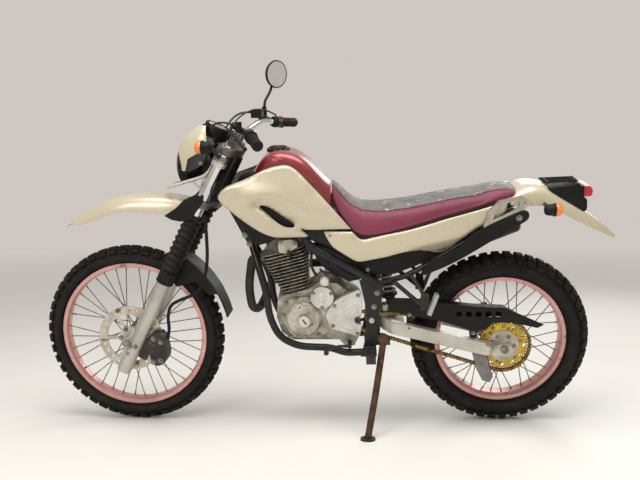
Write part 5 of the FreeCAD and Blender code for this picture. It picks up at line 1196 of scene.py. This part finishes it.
# Footrests, levers and stand
# Forged pegs and pressed brackets, bare and brown with rust, and a stand bent from steel bar.
rusty = finish(
    "rusty_steel", [(62, 44, 34), (92, 62, 43)], patch=26, rough=(0.65, 0.9), metal=0.35, grain=700,
    bump=0.6, marks=[((128, 80, 46), 30, 0.14), ((40, 33, 29), 22, 0.18)])
dress(rusty, "side_stand")
peg_steel = finish(
    "peg_steel", [(34, 33, 34), (52, 50, 49)], patch=20, rough=(0.45, 0.7), metal=0.2, grain=700, bump=0.3,
    marks=[(RUST, 24, 0.16)], worn=((110, 84, 64), 0.002), dust=((92, 80, 66), 0.3))
dress(peg_steel, "footrests", "foot_levers")
for side, word in SIDES:
    plate(
        "passenger_peg_" + word, "frame", slider_paint,
        [(1077, 470), (1107, 546), (1121, 542), (1093, 463)], side * 127.5, side * 156.5, 3)
COVER_EDGE = [
    (1056, 606), (1110, 624), (1176, 656), (1240, 694), (1300, 732), (1360, 768), (1402, 794), (1420, 808),
    (1423, 826), (1412, 839), (1392, 838), (1284, 787), (1221, 748), (1170, 697), (1130, 676), (1101, 672),
    (1070, 640)]
covers = [
    panel("rail_cover_" + word, side, black_plastic, COVER_EDGE,
     [(x, 840, -128, 700, -130, 600, -128) for x in (1040, 1430)], roll=4, thick=7) for side, word in SIDES]
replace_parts(covers[0], "rail_covers")

# Seat
# Moulded foam on a plastic base under two vinyls: a grey top, pale where it is scuffed, and wine
# sides, sewn together. The cover swells a little over the foam, then the seam is drawn in.
SEAT_BODY = [
    (745, 930, 858, 46, 60, 10), (765, 907, 822, 60, 84, 11), (793, 877, 784, 76, 101, 13),
    (820, 856, 757, 88, 112, 15), (850, 842, 740, 95, 117, 16), (895, 839, 742, 100, 119, 16),
    (940, 842, 750, 103, 119, 16), (1010, 850, 770, 104, 117, 16), (1079, 863, 791, 103, 115, 16),
    (1136, 874, 808, 101, 111, 16), (1193, 884, 824, 97, 107, 16), (1245, 891, 838, 92, 101, 15),
    (1290, 900, 850, 87, 96, 12), (1330, 906, 862, 84, 92, 9), (1364, 906, 870, 80, 88, 7),
    (1386, 899, 877, 74, 83, 6)]
around = 36
points, faces = [], []
for x, crown, base, half_top, half_base, round_by in SEAT_BODY:
    ring = []
    for number in range(around):
        angle = 2 * math.pi * (number + 0.5) / around
        y, z = math.sin(angle), -math.cos(angle)
        square = max(abs(y), abs(z)) if abs(y) + abs(z) else 1.0
        y, z = y / square, z / square
        blunt = 1 - 0.075 * min(abs(y), abs(z)) ** 6
        level = (z * blunt + 1) / 2
        half = half_base + (half_top - half_base) * level + 5 * math.sin(math.pi * level)
        lift = (1 - (abs(y) * blunt) ** 2.2) * round_by * max(0.0, z) ** 3
        ring.append(Vector((x, y * blunt * half, base + (crown - round_by - base) * level + lift)))
    points += ring
for row in range(len(SEAT_BODY) - 1):
    for number in range(around):
        after = (number + 1) % around
        low, high = row * around, (row + 1) * around
        faces.append([low + number, high + number, high + after, low + after])
faces.append(list(range(around)))
faces.append([(len(SEAT_BODY) - 1) * around + number for number in reversed(range(around))])
seat_grey = finish(
    "seat_grey", [(88, 86, 86), (112, 109, 110)], patch=16, rough=(0.5, 0.72), grain=1400, bump=0.35,
    marks=[((178, 174, 170), 42, 0.155), ((150, 146, 144), 110, 0.15)], dust=((136, 131, 127), 0.4))
seat_wine = finish(
    "seat_wine", [(104, 36, 58), (124, 46, 68)], patch=7, rough=(0.4, 0.58), grain=1400, bump=0.3,
    marks=[((138, 62, 80), 12, 0.08)])
seat = loose("seat_cover", "frame", seat_grey, points, faces, 180)
seat.data.materials.append(seat_wine)


def take_shape(piece):
    """Keeps the shape that a piece's modifiers give it, and takes them off."""
    shaped = bpy.data.meshes.new_from_object(piece.evaluated_get(bpy.context.evaluated_depsgraph_get()))
    piece.modifiers.clear()
    piece.data = shaped


skin = seat.modifiers.new("skin", "REMESH")
skin.mode = "VOXEL"
skin.voxel_size = 0.006
take_shape(seat)
upright = leaning.inverted()
HELD_STRIP, MOST_SWELL, SIMULATED = 9, 0.005, 20


def base_at(x):
    """How high the seat's base is at a place along it, or None past its ends."""
    for low, high in zip(SEAT_BODY, SEAT_BODY[1:]):
        if low[0] <= x <= high[0]:
            return low[2] + (high[2] - low[2]) * (x - low[0]) / (high[0] - low[0])
    return None


firm = [vertex.co.copy() for vertex in seat.data.vertices]
held = seat.vertex_groups.new(name="base_edge")
for vertex in seat.data.vertices:
    place = upright @ vertex.co
    base = base_at(place.x)
    if base is None or place.z < base + HELD_STRIP:
        held.add([vertex.index], 1.0, "REPLACE")
cover = seat.modifiers.new("cover", "CLOTH")
cover.settings.use_pressure = True
cover.settings.uniform_pressure_force = 4
cover.settings.vertex_group_mass = "base_edge"
cover.settings.effector_weights.gravity = 0
cover.settings.quality = 5
for number in range(SIMULATED):
    bpy.context.scene.frame_set(number + 1)
take_shape(seat)
bpy.context.scene.frame_set(1)
for vertex, start in zip(seat.data.vertices, firm):
    moved = vertex.co - start
    if moved.length > MOST_SWELL:
        vertex.co = start + moved * (MOST_SWELL / moved.length)
finer = seat.modifiers.new("finer", "SUBSURF")
finer.levels = finer.render_levels = 1
take_shape(seat)


SEAM_SHARE, SEAM_DEPTH, SEAM_WIDTH = 0.76, 1.6, 3.2


def seam_half(x):
    """How far out from the middle the seam between top and side runs, and how high the base is."""
    for low, high in zip(SEAT_BODY, SEAT_BODY[1:]):
        if x <= high[0]:
            share = max(0.0, (x - low[0]) / (high[0] - low[0]))
            return SEAM_SHARE * (low[3] + (high[3] - low[3]) * share), low[2] + (high[2] - low[2]) * share
    return SEAM_SHARE * SEAT_BODY[-1][3], SEAT_BODY[-1][2]


for vertex in seat.data.vertices:
    place = upright @ vertex.co
    half, base = seam_half(place.x)
    off = abs(place.y) - half
    if place.z > base + 24:
        if abs(off) < 1.7:
            place.y = math.copysign(half, place.y)
        place.z -= SEAM_DEPTH * math.exp(-(off / SEAM_WIDTH) ** 2)
    vertex.co = leaning @ place
for face in seat.data.polygons:
    place = upright @ face.center
    half, base = seam_half(place.x)
    face.material_index = 0 if abs(place.y) < half and place.z > base + 20 else 1
    face.use_smooth = True
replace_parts(seat, "seat")
hull = BVHTree.FromPolygons(
    [upright @ vertex.co for vertex in seat.data.vertices],
    [list(face.vertices) for face in seat.data.polygons])
stitch_thread = finish("stitch_thread", [(56, 26, 38), (76, 38, 50)], patch=60, rough=(0.6, 0.8))
seam_rows, base_rows = [], []
for side in (-1, 1):
    rays = [(Vector((x, side * seam_half(x)[0], 1100)), Vector((0, 0, -1))) for x in range(748, 1380, 4)]
    line = [hit for hit in (hull.ray_cast(*ray)[0] for ray in rays) if hit]
    seam_rows += [(start, end, 1.5, 6) for start, end in zip(line, line[1:])]
    rays = [(Vector((x, side * 220, base_at(x) + 10)), Vector((0, -side, 0))) for x in range(770, 1371, 10)]
    line = [hit - Vector((0, 0, 9)) for hit in (hull.ray_cast(*ray)[0] for ray in rays) if hit]
    base_rows += [(start, end, 4.2, 10) for start, end in zip(line, line[1:])]
bars("seat_seam", "frame", stitch_thread, seam_rows)
bars("seat_base_edge", "frame", black_plastic, base_rows)

# Inner covers
# Plain black mouldings that fill the space between the panels: one over the wiring at the steering
# head, one under each shroud, and the air box's shell and boot below the seat.
plate(
    "head_cover", "frame", black_plastic,
    [(404, 872), (402, 918), (424, 950), (466, 962), (486, 940), (484, 880), (446, 852)], 34, -34, 8)
plate(
    "seat_shell", "frame", duct_black,
    [(628, 800), (700, 806), (742, 800), (800, 764), (850, 722), (860, 700), (850, 668), (790, 668),
     (742, 700), (690, 716), (640, 744)], 92, -92, 6)
plate(
    "air_boot", "frame", duct_black,
    [(676, 700), (742, 704), (800, 672), (852, 640), (850, 572), (806, 560), (752, 588), (716, 612),
     (684, 650)], 62, -62, 10)
UNDER = [
    (404, 860), (414, 842), (447, 812), (523, 764), (560, 752), (548, 736), (520, 722), (486, 712, 0),
    (470, 726), (440, 764), (418, 800), (404, 830)]
for side, word in SIDES:
    panel(
        "under_cover_" + word, side, black_plastic, UNDER,
        [(356, 884, -124, 850, -124, 700, -112), (560, 884, -124, 830, -120, 700, -104)], roll=6)

# Studio
# A pale painted floor that runs out of sight into a pale wall, and large soft lights.
bpy.context.scene.view_settings.view_transform = "Standard"
WALL = rgb(205, 198, 192)
floor_paint = bpy.data.materials.new("studio_floor")
floor_paint.use_nodes = True
nodes, links = floor_paint.node_tree.nodes, floor_paint.node_tree.links
shader = nodes["Principled BSDF"]
shader.inputs["Roughness"].default_value = 0.55
shader.inputs["Specular IOR Level"].default_value = 0.25
place = nodes.new("ShaderNodeTexCoord").outputs["Object"]
speck = nodes.new("ShaderNodeTexNoise")
speck.inputs["Scale"].default_value = 3.0
speck.inputs["Detail"].default_value = 8
links.new(place, speck.inputs["Vector"])
pale = nodes.new("ShaderNodeValToRGB")
pale.color_ramp.elements[0].color = rgb(236, 233, 226)
pale.color_ramp.elements[1].color = rgb(243, 240, 234)
links.new(speck.outputs["Fac"], pale.inputs["Fac"])
links.new(pale.outputs["Color"], shader.inputs["Base Color"])
away = nodes.new("ShaderNodeVectorMath")
away.operation = "LENGTH"
links.new(place, away.inputs[0])
fade = nodes.new("ShaderNodeMapRange")
fade.inputs["From Min"].default_value = 2.6
fade.inputs["From Max"].default_value = 9.0
links.new(away.outputs["Value"], fade.inputs["Value"])
wall_glow = nodes.new("ShaderNodeEmission")
wall_glow.inputs["Color"].default_value = WALL
blend = nodes.new("ShaderNodeMixShader")
links.new(fade.outputs["Result"], blend.inputs["Fac"])
links.new(shader.outputs["BSDF"], blend.inputs[1])
links.new(wall_glow.outputs["Emission"], blend.inputs[2])
links.new(blend.outputs["Shader"], nodes["Material Output"].inputs["Surface"])
sheet = bmesh.new()
bmesh.ops.create_circle(sheet, cap_ends=True, segments=96, radius=16)
mesh = bpy.data.meshes.new("studio_floor")
sheet.to_mesh(mesh)
mesh.materials.append(floor_paint)
studio_floor = bpy.data.objects.new("studio_floor", mesh)
studio_floor.location = (0, 0, cad_box[0][2])
bpy.context.scene.collection.objects.link(studio_floor)

world = bpy.data.worlds.new("studio")
bpy.context.scene.world = world
world.use_nodes = True
nodes, links = world.node_tree.nodes, world.node_tree.links
soft = nodes["Background"]
soft.inputs["Color"].default_value = (1.0, 0.985, 0.96, 1)
soft.inputs["Strength"].default_value = 0.42
seen = nodes.new("ShaderNodeBackground")
seen.inputs["Color"].default_value = WALL
path = nodes.new("ShaderNodeLightPath")
ray = path.outputs["Is Camera Ray"]
for other in ("Is Glossy Ray", "Is Transmission Ray"):
    either = nodes.new("ShaderNodeMath")
    either.operation = "MAXIMUM"
    links.new(ray, either.inputs[0])
    links.new(path.outputs[other], either.inputs[1])
    ray = either.outputs["Value"]
blend = nodes.new("ShaderNodeMixShader")
links.new(ray, blend.inputs["Fac"])
links.new(soft.outputs["Background"], blend.inputs[1])
links.new(seen.outputs["Background"], blend.inputs[2])
links.new(blend.outputs["Shader"], nodes["World Output"].inputs["Surface"])


def softbox(name, place, target, size, watts):
    """A large soft light, turned to a place."""
    lamp = bpy.data.lights.new(name, "AREA")
    lamp.shape = "RECTANGLE"
    lamp.size, lamp.size_y = size
    lamp.energy = watts
    made = bpy.data.objects.new(name, lamp)
    made.location = place
    made.rotation_euler = (Vector(target) - Vector(place)).to_track_quat("-Z", "Y").to_euler()
    bpy.context.scene.collection.objects.link(made)


softbox("ceiling_light", (0.2, -0.9, 3.4), (0, 0, 0.4), (3.6, 2.0), 98)
softbox("left_light", (-1.8, -3.6, 2.4), (0, 0, 0.6), (2.0, 1.4), 52)
softbox("right_light", (1.9, 3.4, 2.4), (0, 0, 0.6), (2.2, 1.6), 35)
